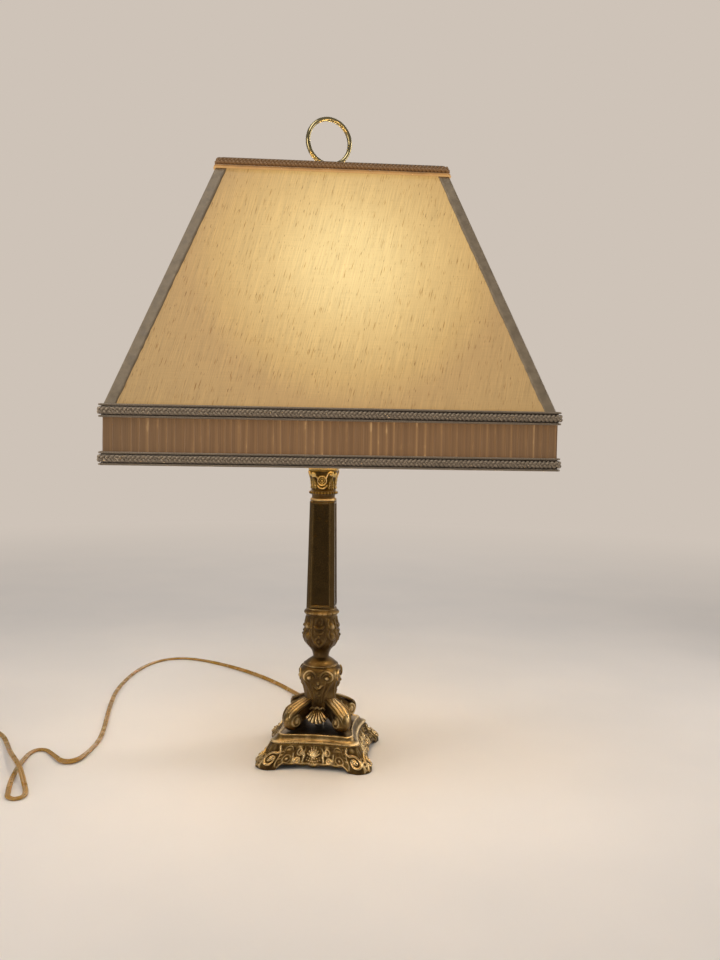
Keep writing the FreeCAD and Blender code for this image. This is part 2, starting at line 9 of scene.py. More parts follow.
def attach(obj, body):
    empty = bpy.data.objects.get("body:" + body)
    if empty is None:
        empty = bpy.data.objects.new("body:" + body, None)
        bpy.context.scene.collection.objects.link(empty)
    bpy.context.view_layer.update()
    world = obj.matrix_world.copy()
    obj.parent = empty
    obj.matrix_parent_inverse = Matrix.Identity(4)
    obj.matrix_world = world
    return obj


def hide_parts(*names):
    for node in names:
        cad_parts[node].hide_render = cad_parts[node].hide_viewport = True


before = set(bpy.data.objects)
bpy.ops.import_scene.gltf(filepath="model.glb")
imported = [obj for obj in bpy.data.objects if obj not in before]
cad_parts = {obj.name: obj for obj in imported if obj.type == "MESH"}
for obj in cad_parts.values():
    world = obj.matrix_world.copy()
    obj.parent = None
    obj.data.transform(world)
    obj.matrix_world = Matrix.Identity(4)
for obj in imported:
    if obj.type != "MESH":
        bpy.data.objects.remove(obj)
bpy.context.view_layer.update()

MM = 0.001
TURN = math.radians(-9.7)       # the cast body is turned about Z against the shade


# ---------------------------------------------------------------- camera
CAMERA_AT = (-0.0411, -0.9813, 0.3516)
CAMERA_HEADING = math.radians(4.606)        # to the right of +Y
CAMERA_DIP = math.radians(3.576)
CAMERA_ROLL = math.radians(1.043)
CAMERA_LENS = 35.36


def make_camera():
    camera = bpy.data.objects.new("camera", bpy.data.cameras.new("camera"))
    bpy.context.scene.collection.objects.link(camera)
    turn = Matrix.Rotation(-CAMERA_HEADING, 4, "Z")
    tilt = Matrix.Rotation(math.pi / 2 - CAMERA_DIP, 4, "X")
    roll = Matrix.Rotation(CAMERA_ROLL, 4, "Z")
    camera.matrix_world = Matrix.Translation(CAMERA_AT) @ turn @ tilt @ roll
    camera.data.lens = CAMERA_LENS
    camera.data.clip_start = 0.01
    bpy.context.scene.camera = camera


make_camera()


# ---------------------------------------------------------------- mesh tools
def new_object(name, vertices, faces, smooth=True, material=None):
    mesh = bpy.data.meshes.new(name)
    mesh.from_pydata([tuple(v) for v in vertices], [], faces)
    mesh.update()
    if smooth:
        mesh.polygons.foreach_set("use_smooth", [True] * len(mesh.polygons))
    piece = bpy.data.objects.new(name, mesh)
    bpy.context.scene.collection.objects.link(piece)
    if material:
        mesh.materials.append(material)
    return piece


def grid_faces(rows, columns, wrap_rows=False, wrap_columns=False, start=0):
    """Quads over a rows x columns grid of vertices, numbered row by row."""
    faces = []
    for i in range(rows if wrap_rows else rows - 1):
        for j in range(columns if wrap_columns else columns - 1):
            a = i * columns + j
            b = i * columns + (j + 1) % columns
            c = ((i + 1) % rows) * columns + (j + 1) % columns
            d = ((i + 1) % rows) * columns + j
            faces.append((start + a, start + b, start + c, start + d))
    return faces


def grid_object(name, points, material, wrap_rows=False, wrap_columns=False, tint=None, caps=False):
    """A smooth surface through a (rows, columns, 3) array of points in millimetres."""
    rows, columns = points.shape[:2]
    faces = grid_faces(rows, columns, wrap_rows, wrap_columns)
    if caps:
        faces.append(tuple(range(columns))[::-1])
        faces.append(tuple(range((rows - 1) * columns, rows * columns)))
    piece = new_object(name, points.reshape(-1, 3) * MM, faces, material=material)
    if tint is not None:
        layer = piece.data.attributes.new("tint", "FLOAT", "POINT")
        layer.data.foreach_set("value", np.asarray(tint, float).reshape(-1))
    return piece


def normals(points, wrap_columns=True):
    """Unit normals of a grid of points, outwards when columns run anticlockwise and rows go up."""
    if wrap_columns:
        along = np.roll(points, -1, 1) - np.roll(points, 1, 1)
    else:
        along = np.gradient(points, axis=1)
    up = np.gradient(points, axis=0)
    n = np.cross(along, up)
    return n / np.maximum(np.linalg.norm(n, axis=2, keepdims=True), 1e-9)


def turned(points):
    """Turn points with the cast body."""
    c, s = math.cos(TURN), math.sin(TURN)
    out = points.copy()
    out[..., 0] = points[..., 0] * c - points[..., 1] * s
    out[..., 1] = points[..., 0] * s + points[..., 1] * c
    return out


def quarter_turned(points, times):
    """Turn points anticlockwise about Z by a number of quarter turns."""
    for _ in range(times):
        points = np.stack([-points[..., 1], points[..., 0], points[..., 2]], -1)
    return points


def quarter_matrix(times):
    """The same turn as a matrix, for points @ matrix.T."""
    c, s = math.cos(times * math.pi / 2), math.sin(times * math.pi / 2)
    return np.array([[c, -s, 0], [s, c, 0], [0, 0, 1]])


def spline(points, count):
    """Smooth (Catmull-Rom) resampling of a short list of points, evenly in its own parameter."""
    p = np.array(points, float)
    p = np.vstack([2 * p[0] - p[1], p, 2 * p[-1] - p[-2]])
    t = np.linspace(0, len(p) - 3 - 1e-9, count)
    k = t.astype(int)
    f = (t - k)[:, None]
    a, b, c, d = p[k], p[k + 1], p[k + 2], p[k + 3]
    square, cube = 2 * a - 5 * b + 4 * c - d, 3 * b - a - 3 * c + d
    return 0.5 * (2 * b + (c - a) * f + square * f ** 2 + cube * f ** 3)


def even(points, count):
    """Points at equal distances along a polyline."""
    p = np.array(points, float)
    run = np.concatenate([[0], np.cumsum(np.linalg.norm(np.diff(p, axis=0), axis=1))])
    t = np.linspace(0, run[-1], count)
    return np.column_stack([np.interp(t, run, p[:, k]) for k in range(p.shape[1])])


class Relief:
    """A height map in millimetres over a flat canvas, on which round-backed strokes are laid."""

    def __init__(self, x, y):
        self.x, self.y = np.broadcast_arrays(x, y)
        self.height = np.zeros(self.x.shape)

    def dot(self, x, y, radius, height):
        d2 = ((self.x - x) ** 2 + (self.y - y) ** 2) / radius ** 2
        np.maximum(self.height, height * np.clip(1 - d2, 0, 1) ** 0.65, out=self.height)

    def stroke(self, points, radius, height, taper=0.0):
        """A rounded ridge along points; taper narrows both of its ends."""
        p = np.array(points, float)
        length = np.linalg.norm(np.diff(p, axis=0), axis=1).sum()
        dense = even(p, max(3, int(length / (0.35 * radius)) + 2))
        low, high = p.min(0) - radius, p.max(0) + radius
        near = (self.x >= low[0]) & (self.x <= high[0]) & (self.y >= low[1]) & (self.y <= high[1])
        if not near.any():
            return
        gx, gy, best = self.x[near], self.y[near], self.height[near]
        for k, (px, py) in enumerate(dense):
            share = 1 - taper * abs(2 * k / (len(dense) - 1) - 1)
            r = radius * share
            d2 = ((gx - px) ** 2 + (gy - py) ** 2) / r ** 2
            best = np.maximum(best, height * share * np.clip(1 - d2, 0, 1) ** 0.65)
        self.height[near] = best

    def ridge(self, side, points, count, radius, height, taper=0.0):
        """A rounded ridge on a smooth line through a few points, mirrored in x when side is -1."""
        self.stroke(spline([(side * x, y) for x, y in points], count), radius, height, taper)

    def softened(self, times=2):
        """The heights with their edges rounded off, as in a casting."""
        height = self.height
        for axis in (0, 1) * times:
            height = 0.25 * np.roll(height, 1, axis) + 0.5 * height + 0.25 * np.roll(height, -1, axis)
        return height

    def scroll(self, x, y, radius, turns, width, height, start=0.0, way=1, tail=None):
        """A spiral ridge ending in a round eye; tail carries its outer end on to another point."""
        t = np.linspace(0, 1, int(24 * turns) + 8)
        angle = start + way * 2 * math.pi * turns * t
        r = radius * (1 - 0.86 * t)
        points = np.column_stack([x + r * np.cos(angle), y + r * np.sin(angle)])
        if tail is not None:
            between = (np.array(tail) + points[0]) / 2 + (points[0] - points[1]) * 1.5
            points = np.vstack([spline([tail, between, points[0]], 12), points])
        self.stroke(points, width, height)
        self.dot(x, y, width * 1.5, height * 1.35)

    def leaf(self, x, y, angle, length, width, height, lobes=3):
        """An acanthus-like leaf: a rib with paired lobes that shorten towards the tip."""
        d = np.array([math.cos(angle), math.sin(angle)])
        n = np.array([-d[1], d[0]])
        root = np.array([x, y])
        self.stroke([root, root + d * length], width * 0.22, height, taper=0.5)
        for k in range(lobes):
            base = root + d * length * (k + 0.3) / (lobes + 0.4)
            reach = width * (1 - 0.25 * k)
            for side in (-1, 1):
                tip = base + d * reach * 0.5 + n * side * reach * 0.5
                self.stroke([base, tip], width * 0.2, height * 0.8, taper=0.4)


# ---------------------------------------------------------------- materials
def srgb(r, g, b):
    """A colour in 0 to 255, as the linear values that shaders take."""
    return tuple(c / 3294.6 if c <= 10.3 else ((c / 255 + 0.055) / 1.055) ** 2.4 for c in (r, g, b)) + (1.0,)


class Finish:
    """A Principled material, with short names for the nodes that feed it."""

    def __init__(self, name, **values):
        self.material = bpy.data.materials.new(name)
        self.material.use_nodes = True
        self.tree = self.material.node_tree
        self.shader = self.tree.nodes["Principled BSDF"]
        self.place = self.node("ShaderNodeTexCoord").outputs["Object"]
        self.cloth = self.node("ShaderNodeTexCoord").outputs["UV"]
        for key, value in values.items():
            self.shader.inputs[key.replace("_", " ")].default_value = value

    def node(self, kind, **settings):
        made = self.tree.nodes.new(kind)
        for key, value in settings.items():
            setattr(made, key, value)
        return made

    def feed(self, target, value):
        if isinstance(value, bpy.types.NodeSocket):
            self.tree.links.new(value, target)
        else:
            target.default_value = value

    def goes_to(self, name, value):
        self.feed(self.shader.inputs[name], value)

    def stretched(self, scale, source=None):
        """The place, or another vector, scaled by a number or by three."""
        made = self.node("ShaderNodeVectorMath", operation="MULTIPLY")
        self.feed(made.inputs[0], source or self.place)
        made.inputs[1].default_value = scale if hasattr(scale, "__len__") else (scale,) * 3
        return made.outputs[0]

    def noise(self, scale, detail=3.0, roughness=0.5, source=None, distortion=0.0):
        made = self.node("ShaderNodeTexNoise")
        self.feed(made.inputs["Vector"], self.stretched(scale, source))
        made.inputs["Scale"].default_value = 1.0
        made.inputs["Detail"].default_value = detail
        made.inputs["Roughness"].default_value = roughness
        made.inputs["Distortion"].default_value = distortion
        return made.outputs["Fac"]

    def wave(self, scale, source, direction="X", distortion=0.0, profile="SIN"):
        made = self.node("ShaderNodeTexWave", bands_direction=direction, wave_profile=profile)
        self.feed(made.inputs["Vector"], source)
        made.inputs["Scale"].default_value = scale
        made.inputs["Distortion"].default_value = distortion
        return made.outputs["Fac"]

    def tint(self, name="tint"):
        return self.node("ShaderNodeAttribute", attribute_name=name).outputs["Fac"]

    def sum(self, a, b, operation="ADD"):
        """a + b, or another operation on the two."""
        made = self.node("ShaderNodeMath", operation=operation)
        self.feed(made.inputs[0], a)
        self.feed(made.inputs[1], b)
        return made.outputs[0]

    def times(self, a, b):
        return self.sum(a, b, "MULTIPLY")

    def span(self, value, low, high, to_low=0.0, to_high=1.0):
        """A value between low and high, as one between to_low and to_high."""
        made = self.node("ShaderNodeMapRange")
        self.feed(made.inputs["Value"], value)
        for key, number in zip(("From Min", "From Max", "To Min", "To Max"), (low, high, to_low, to_high)):
            made.inputs[key].default_value = number
        return made.outputs["Result"]

    def grey(self, value):
        """A number as a grey colour."""
        made = self.node("ShaderNodeCombineColor")
        for k in range(3):
            self.feed(made.inputs[k], value)
        return made.outputs[0]

    def ramp(self, value, *stops):
        made = self.node("ShaderNodeValToRGB")
        self.feed(made.inputs["Fac"], value)
        points = made.color_ramp.elements
        while len(points) < len(stops):
            points.new(0.5)
        for point, (position, colour) in zip(points, stops):
            point.position = position
            point.color = colour
        return made.outputs["Color"]

    def mix(self, share, a, b, blend="MIX"):
        made = self.node("ShaderNodeMix", data_type="RGBA", blend_type=blend)
        self.feed(made.inputs["Factor"], share)
        self.feed(made.inputs[6], a)
        self.feed(made.inputs[7], b)
        return made.outputs[2]

    def bump(self, height, depth, strength=1.0):
        """Raise the surface by height (0 to 1) times depth, in metres."""
        made = self.node("ShaderNodeBump")
        self.feed(made.inputs["Height"], height)
        made.inputs["Distance"].default_value = depth
        made.inputs["Strength"].default_value = strength
        if self.shader.inputs["Normal"].links:
            self.feed(made.inputs["Normal"], self.shader.inputs["Normal"].links[0].from_socket)
        self.goes_to("Normal", made.outputs["Normal"])


def cast_brass(name, dark, middle, gold, carved=True, rough=(0.24, 0.46), patchy=1.0):
    """Old lacquered cast brass: dark in the recesses, worn golden on the high places, after each piece's
    tint, which on some pieces also holds painted shade and painted highlights.
    """
    f = Finish(name, Metallic=1.0, Coat_Weight=0.12, Coat_Roughness=0.25)
    blotch = f.noise(85.0, 4.0, 0.6)
    fine = f.noise(900.0, 3.0, 0.6)
    if carved:
        brass_tone = f.sum(f.tint(), f.span(blotch, 0.3, 0.7, -0.11 * patchy, 0.11 * patchy))
        colour = f.ramp(brass_tone, (0.0, dark), (0.34, middle), (0.62, gold), (1.0, gold))
        rough_by = f.sum(f.span(brass_tone, 0.0, 0.8, rough[1], rough[0]), f.span(fine, 0.3, 0.7, -0.05, 0.05))
    else:
        colour = f.ramp(blotch, (0.25, dark), (0.5, middle), (0.8, gold))
        rough_by = f.span(fine, 0.3, 0.7, rough[0], rough[1])
    tarnish = f.span(f.noise(230.0, 5.0, 0.7), 0.52, 0.72, 0.0, 0.4 * patchy)
    f.goes_to("Base Color", f.mix(tarnish, colour, dark))
    f.goes_to("Roughness", rough_by)
    f.bump(fine, 0.00012)
    f.bump(f.noise(2600.0, 2.0), 0.00003)
    return f.material


def turned_metal(name, colour, shade, roughness, scratches=0.00002, coat=0.0):
    """Spun, drawn or stamped metal with fine scratches round it."""
    f = Finish(name, Metallic=1.0, Coat_Weight=coat, Coat_Roughness=0.08)
    cloud = f.noise(60.0, 4.0, 0.6)
    lines = f.noise((200.0, 200.0, 5200.0), 2.0)
    f.goes_to("Base Color", f.ramp(cloud, (0.3, shade), (0.7, colour)))
    f.goes_to("Roughness", f.sum(f.span(cloud, 0.3, 0.7, roughness * 0.7, roughness * 1.3),
                                 f.span(lines, 0.3, 0.7, -0.03, 0.03)))
    f.bump(lines, scratches)
    return f.material


def moulded(name, colour, shade, roughness, grain=1500.0, depth=0.00004, **values):
    """Moulded plastic, card, paint or felt: mottled colour over a fine grain."""
    f = Finish(name, **values)
    f.goes_to("Base Color", f.ramp(f.noise(140.0, 4.0, 0.6), (0.3, shade), (0.7, colour)))
    grains = f.noise(grain, 3.0, 0.6)
    f.goes_to("Roughness", f.span(grains, 0.3, 0.7, roughness * 0.8, min(1.0, roughness * 1.2)))
    f.bump(grains, depth)
    return f.material


ANTIQUE = cast_brass("antique_brass", srgb(64, 46, 20), srgb(118, 95, 56), srgb(218, 190, 138))
SMOOTH_ANTIQUE = cast_brass("antique_brass_smooth", srgb(92, 72, 34), srgb(120, 96, 50), srgb(150, 124, 72),
                            carved=False, rough=(0.2, 0.32))
# Smoother brass for the column, darker than the rest: partly patina, partly painted shade, as it stands under
# the lampshade.
SHADED_COLUMN_BRASS = cast_brass("column_brass_shaded", srgb(56, 41, 16), srgb(92, 72, 38), srgb(186, 160, 112),
                          rough=(0.17, 0.26), patchy=0.4)
BRIGHT_CAST = cast_brass("bright_cast_brass", srgb(58, 42, 14), srgb(124, 98, 46), srgb(214, 184, 116),
                         rough=(0.2, 0.36))
BRIGHT = turned_metal("bright_brass", srgb(214, 176, 104), srgb(176, 138, 72), 0.26)
POLISHED = turned_metal("polished_brass", srgb(180, 166, 124), srgb(152, 138, 98), 0.07, coat=0.2)
IRON = moulded("cast_iron", srgb(70, 66, 62), srgb(44, 40, 37), 0.7, grain=600.0, depth=0.0002, Metallic=0.6)
STEEL = turned_metal("plated_steel", srgb(200, 198, 190), srgb(160, 156, 148), 0.34)
ALUMINIUM = turned_metal("aluminium", srgb(214, 212, 206), srgb(184, 182, 176), 0.3)
WIRE = turned_metal("frame_wire", srgb(206, 190, 150), srgb(150, 132, 98), 0.36)
FELT = moulded("felt", srgb(52, 84, 58), srgb(34, 60, 40), 0.95, grain=2200.0, depth=0.0003, Sheen_Weight=0.4)
CARD = moulded("card", srgb(176, 150, 112), srgb(150, 124, 88), 0.85, grain=1800.0)
PHENOLIC = moulded("phenolic", srgb(40, 30, 24), srgb(24, 18, 15), 0.32, grain=900.0, depth=0.00002,
                   Coat_Weight=0.3)


def lead_plastic():
    """Clear golden vinyl over the copper strands of a flat lead."""
    f = Finish("lead_plastic", IOR=1.5, Coat_Weight=0.4, Coat_Roughness=0.1, Subsurface_Weight=0.1,
               Subsurface_Scale=0.001)
    strands = f.wave(900.0, f.cloth, "DIAGONAL", 0.6)
    cloud = f.noise(60.0, 3.0)
    copper = f.ramp(strands, (0.2, srgb(112, 78, 14)), (0.8, srgb(188, 144, 60)))
    f.goes_to("Base Color", f.mix(f.span(cloud, 0.3, 0.7, 0.1, 0.5), copper, srgb(150, 110, 36)))
    f.goes_to("Roughness", f.span(cloud, 0.3, 0.7, 0.2, 0.34))
    f.bump(strands, 0.00002)
    return f.material


LEAD = lead_plastic()
PLUG = moulded("plug_plastic", srgb(196, 158, 88), srgb(168, 128, 62), 0.4, grain=1300.0, depth=0.00003,
               Coat_Weight=0.2)


def bulb_glass():
    """Frosted glass, lit from inside."""
    f = Finish("frosted_glass", IOR=1.5, Coat_Weight=0.3, Coat_Roughness=0.2)
    frost = f.noise(2400.0, 2.0)
    f.goes_to("Base Color", f.ramp(frost, (0.3, srgb(244, 238, 226)), (0.7, srgb(252, 248, 240))))
    f.goes_to("Roughness", f.span(frost, 0.3, 0.7, 0.4, 0.6))
    light = f.ramp(f.noise(20.0, 1.0), (0.3, srgb(255, 226, 168)), (0.7, srgb(255, 234, 186)))
    f.goes_to("Emission Color", light)
    f.shader.inputs["Emission Strength"].default_value = 4.0
    f.bump(frost, 0.00002)
    return f.material


def filament():
    """White-hot wire."""
    f = Finish("filament", Roughness=0.5)
    light = f.ramp(f.noise(300.0, 1.0), (0.3, srgb(255, 210, 130)), (0.7, srgb(255, 226, 160)))
    f.goes_to("Emission Color", light)
    f.shader.inputs["Emission Strength"].default_value = 20.0
    return f.material


# ---------------------------------------------------------------- stage and lights
FLOOR_COLOUR = srgb(222, 217, 214)
FLOOR_REACH = 6000.0
FLOOR_RINGS, FLOOR_SPOKES = 40, 64
FLOOR_Z = -0.15                 # just under the feet
FLOOR_FADES = (0.55, 2.3)       # distances from the lamp between which the floor turns into the backdrop
PAPER = srgb(206, 195, 184)


def make_floor():
    """A pale round floor that turns into the backdrop with distance."""
    reach = np.linspace(0, 1, FLOOR_RINGS) ** 2 * FLOOR_REACH
    angle = np.linspace(0, 2 * math.pi, FLOOR_SPOKES, endpoint=False)
    points = np.zeros((FLOOR_RINGS, FLOOR_SPOKES, 3))
    points[..., 0] = reach[:, None] * np.cos(angle)
    points[..., 1] = reach[:, None] * np.sin(angle)
    points[..., 2] = FLOOR_Z
    f = Finish("floor", Roughness=0.85)
    f.goes_to("Base Color", f.ramp(f.noise(6.0, 2.0), (0.3, srgb(217, 213, 211)), (0.7, FLOOR_COLOUR)))
    apart = f.node("ShaderNodeVectorMath", operation="LENGTH")
    f.feed(apart.inputs[0], f.place)
    far = f.node("ShaderNodeMapRange", interpolation_type="SMOOTHSTEP")
    f.feed(far.inputs["Value"], apart.outputs["Value"])
    far.inputs["From Min"].default_value, far.inputs["From Max"].default_value = FLOOR_FADES
    glow, blend = f.node("ShaderNodeEmission"), f.node("ShaderNodeMixShader")
    glow.inputs["Color"].default_value = PAPER
    f.tree.links.new(far.outputs["Result"], blend.inputs[0])
    f.tree.links.new(f.shader.outputs[0], blend.inputs[1])
    f.tree.links.new(glow.outputs[0], blend.inputs[2])
    f.tree.links.new(blend.outputs[0], f.tree.nodes["Material Output"].inputs["Surface"])
    floor = grid_object("floor", points[:, ::-1], f.material, wrap_columns=True)


# What stands in for the backdrop: the kind of ray, its colour and its strength.
SKY = (("Is Diffuse Ray", srgb(240, 236, 230), 0.46), ("Is Glossy Ray", srgb(238, 232, 224), 0.3))


def make_world():
    """The backdrop as the camera sees it, with dimmer light for diffuse and glossy rays."""
    world = bpy.data.worlds.new("studio")
    world.use_nodes = True
    bpy.context.scene.world = world
    tree = world.node_tree
    rays = tree.nodes.new("ShaderNodeLightPath")
    paper = tree.nodes["Background"]
    paper.inputs["Color"].default_value = PAPER
    shader = paper.outputs[0]
    for ray, colour, strength in SKY:
        other, share = tree.nodes.new("ShaderNodeBackground"), tree.nodes.new("ShaderNodeMixShader")
        other.inputs["Color"].default_value = colour
        other.inputs["Strength"].default_value = strength
        tree.links.new(rays.outputs[ray], share.inputs[0])
        tree.links.new(shader, share.inputs[1])
        tree.links.new(other.outputs[0], share.inputs[2])
        shader = share.outputs[0]
    tree.links.new(shader, tree.nodes["World Output"].inputs["Surface"])


def area_light(name, at, towards, width, height, power, colour, spread=180.0):
    light = bpy.data.lights.new(name, "AREA")
    light.spread = math.radians(spread)
    light.shape = "RECTANGLE"
    light.size, light.size_y = width, height
    light.energy = power
    light.color = colour[:3]
    lamp = bpy.data.objects.new(name, light)
    lamp.location = at
    lamp.rotation_mode = "QUATERNION"
    lamp.rotation_quaternion = (Vector(towards) - Vector(at)).to_track_quat("-Z", "Y")
    bpy.context.scene.collection.objects.link(lamp)
    lamp.visible_camera = False


BULB_LIGHT_AT = (0, 0, 0.457)


def make_lights():
    """Four soft lights round the lamp, and one in its bulb."""
    area_light("soft_top", (-0.6, -0.9, 2.2), (0, 0, 0.1), 1.1, 1.1, 13.5, srgb(255, 251, 246))
    area_light("soft_left", (-1.3, -0.55, 0.55), (0, 0, 0.2), 0.25, 0.9, 1.9, srgb(255, 244, 230), 100.0)
    area_light("soft_right", (1.2, 0.1, 0.6), (0, 0, 0.2), 0.2, 0.9, 1.9, srgb(255, 246, 236), 100.0)
    area_light("soft_back", (0.3, 1.9, 1.2), (0, 0, 0.3), 1.2, 0.8, 7.0, srgb(255, 246, 236))
    glow = bpy.data.lights.new("bulb_light", "POINT")
    glow.energy = 2.3
    glow.color = srgb(255, 242, 224)[:3]
    glow.shadow_soft_size = 0.02
    lamp = bpy.data.objects.new("bulb_light", glow)
    lamp.location = BULB_LIGHT_AT
    bpy.context.scene.collection.objects.link(lamp)
    bpy.context.scene.view_settings.view_transform = "Standard"


make_floor()
make_world()
make_lights()


# ---------------------------------------------------------------- free lead
LEAD_WIDE = 5.2                 # flat twin lead
LEAD_THICK = 2.7
CORE_OFF, CORE_R = 1.25, 1.35   # each conductor's distance from the middle, and its radius
GROOVE_HALF = 0.5               # half of what is left between them at the groove
LEAD_EXIT = (9.0, 52.4, 12.5)
FLAT = 1.35                     # height of its middle where it lies flat
LEAD_RUN = [
    LEAD_EXIT, (14.0, 84.0, 6.5), (12.0, 124.0, 2.8), (-2.0, 166.0, 2.8), (-22.0, 206.0, 2.8),
    (-50.0, 260.0, 2.8), (-85.0, 311.0, 2.6), (-124.0, 355.0, 1.8), (-163.0, 387.0, FLAT),
    (-196.0, 394.0, FLAT), (-222.0, 374.0, FLAT), (-239.0, 334.0, FLAT), (-248.0, 282.0, FLAT),
    (-252.0, 228.0, FLAT), (-249.0, 174.0, FLAT), (-244.0, 122.0, FLAT), (-239.0, 76.0, FLAT),
    (-237.0, 40.0, FLAT), (-240.0, 12.0, FLAT), (-243.5, -9.0, 2.1), (-246.5, -22.0, 2.7),
    (-253.5, -29.0, 2.9), (-262.5, -26.0, 2.7), (-270.5, -12.5, 2.1), (-279.5, 2.0, FLAT),
    (-286.5, 11.5, FLAT), (-295.5, 12.5, FLAT), (-300.5, 3.0, FLAT), (-302.0, -14.0, FLAT),
    (-301.5, -42.0, FLAT), (-299.0, -69.0, FLAT), (-295.5, -91.0, FLAT), (-292.7, -103.5, FLAT),
    (-290.9, -113.0, FLAT), (-283.2, -119.0, FLAT), (-275.8, -112.8, FLAT), (-277.2, -101.0, FLAT),
    (-282.8, -85.0, 2.2), (-289.0, -70.0, 5.5), (-296.5, -52.0, 8.0), (-307.0, -31.0, 8.0),
    (-320.0, -2.0, 5.0), (-331.5, 30.0, FLAT), (-344.5, 60.0, FLAT), (-367.0, 85.0, FLAT),
    (-398.0, 92.0, FLAT),
]
LEAD_ON_EDGE = (-255.0, -27.0)  # where it turns up on its edge in a tight bend
EDGE_ROLL = math.radians(58.0)  # how far it turns up there
EDGE_REACH = 17.0
NEAR_ROLL = math.radians(52.0)  # its roll where it comes out of the lamp
NEAR_GROWS = 60.0               # length in which that roll sets in
NEAR_ENDS, NEAR_FADES = 400.0, 140.0
PLUG_AT = (-429.0, -1.0, 6.5)   # where the lead goes into the plug
LEAD_TAIL = [(-430.0, 45.0, 11.5), (-430.5, 29.0, 9.0), (-430.0, 13.0, 7.0), PLUG_AT]
COIL_AT = (-398.0, 61.0)
COIL_R = 31.0
COIL_TURNS = 2.25
COIL_STEPS = 16                 # points in one turn
COIL_CLIMB = 5.0                # rise in one turn


def coil_points():
    """The put-away turns, each lying on the one before, from the back round to the left side."""
    points = []
    for k in range(1, int(COIL_TURNS * COIL_STEPS) + 1):
        angle = math.pi / 2 + 2 * math.pi * k / COIL_STEPS
        rise = FLAT + COIL_CLIMB * k / COIL_STEPS
        r = COIL_R + 0.8 * math.sin(2.1 * k / COIL_STEPS * math.pi)
        points.append((COIL_AT[0] + r * math.cos(angle), COIL_AT[1] + r * math.sin(angle), rise))
    return points


def read_nurbs(name, points):
    """The smooth line of a NURBS spline whose control points are these, as an array in millimetres."""
    data = bpy.data.curves.new(name, "CURVE")
    data.dimensions = "3D"
    data.resolution_u = 12
    line = data.splines.new("NURBS")
    line.points.add(len(points) - 1)
    for point, (x, y, z) in zip(line.points, points):
        point.co = (x * MM, y * MM, z * MM, 1.0)
    line.order_u = 3
    line.use_endpoint_u = True
    helper = bpy.data.objects.new(name, data)
    bpy.context.scene.collection.objects.link(helper)
    mesh = bpy.data.meshes.new_from_object(helper)
    read = np.array([v.co for v in mesh.vertices]) / MM
    bpy.data.meshes.remove(mesh)
    bpy.data.objects.remove(helper)
    return read


def sweep(line, section, size=None, roll=None, closed=False, up=(0, 0, 1)):
    """Rings of a flat section (side, lift) along a line; size scales each ring and roll turns it."""
    if closed:
        ahead = np.roll(line, -1, 0) - np.roll(line, 1, 0)
    else:
        ahead = np.gradient(line, axis=0)
    ahead = ahead / np.maximum(np.linalg.norm(ahead, axis=1, keepdims=True), 1e-9)
    side = np.cross(ahead, np.broadcast_to(up, ahead.shape))
    side = side / np.maximum(np.linalg.norm(side, axis=1, keepdims=True), 1e-9)
    lift = np.cross(side, ahead)
    size = np.ones(len(line)) if size is None else np.asarray(size, float)
    roll = np.zeros(len(line)) if roll is None else np.asarray(roll, float)
    s, h = section[:, 0], section[:, 1]
    c, d = np.cos(roll)[:, None], np.sin(roll)[:, None]
    across = (s * c - h * d) * size[:, None]
    above = (s * d + h * c) * size[:, None]
    return line[:, None] + across[..., None] * side[:, None] + above[..., None] * lift[:, None]


def round_section(radius, count=8, wide=1.0):
    a = np.linspace(0, 2 * math.pi, count, endpoint=False)
    return np.column_stack([radius * wide * np.cos(a), radius * np.sin(a)])


def lead_section(count=28):
    """Two round conductors side by side with a groove between them."""
    a = np.linspace(0, 2 * math.pi, count, endpoint=False)
    across = (LEAD_WIDE / 2) * np.cos(a)
    off = np.abs(across)
    body = LEAD_THICK / 2 * np.sqrt(np.clip(1 - ((off - CORE_OFF) / CORE_R) ** 2, 0, 1))
    body = np.where(off < CORE_OFF, np.maximum(body, GROOVE_HALF), body)
    return np.column_stack([across, np.sign(np.sin(a)) * body])


def add_uv(piece, u, v):
    """Lay flat coordinates, in millimetres, one for each vertex, over the piece."""
    layer = piece.data.uv_layers.new(name="cloth")
    corners = np.zeros(len(piece.data.loops), int)
    piece.data.loops.foreach_get("vertex_index", corners)
    both = np.column_stack([np.ravel(u), np.ravel(v)]) * MM
    layer.data.foreach_set("uv", both[corners].ravel())


def run_length(line):
    return np.concatenate([[0], np.cumsum(np.linalg.norm(np.diff(line, axis=0), axis=1))])


def make_lead():
    """The whole lead as one flat sweep, from the lamp through its coil to the plug."""
    line = read_nurbs("lead_line", LEAD_RUN + coil_points() + LEAD_TAIL)
    section = lead_section()
    run = run_length(line)
    bend = run[np.argmin(np.linalg.norm(line[:, :2] - LEAD_ON_EDGE, axis=1))]
    roll = EDGE_ROLL * np.exp(-((run - bend) / EDGE_REACH) ** 2)
    roll += NEAR_ROLL * np.clip(run / NEAR_GROWS, 0, 1) * np.clip((NEAR_ENDS - run) / NEAR_FADES, 0, 1)
    lead = grid_object("lead", sweep(line, section, roll=roll), LEAD, wrap_columns=True, caps=True)
    add_uv(lead, np.repeat(run, len(section)), np.tile(np.arange(len(section)) * 0.5, len(line)))
    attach(lead, "lamp")
    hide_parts("cord_run", "cord_coil", "cord_tail")

    plug = make_plug()


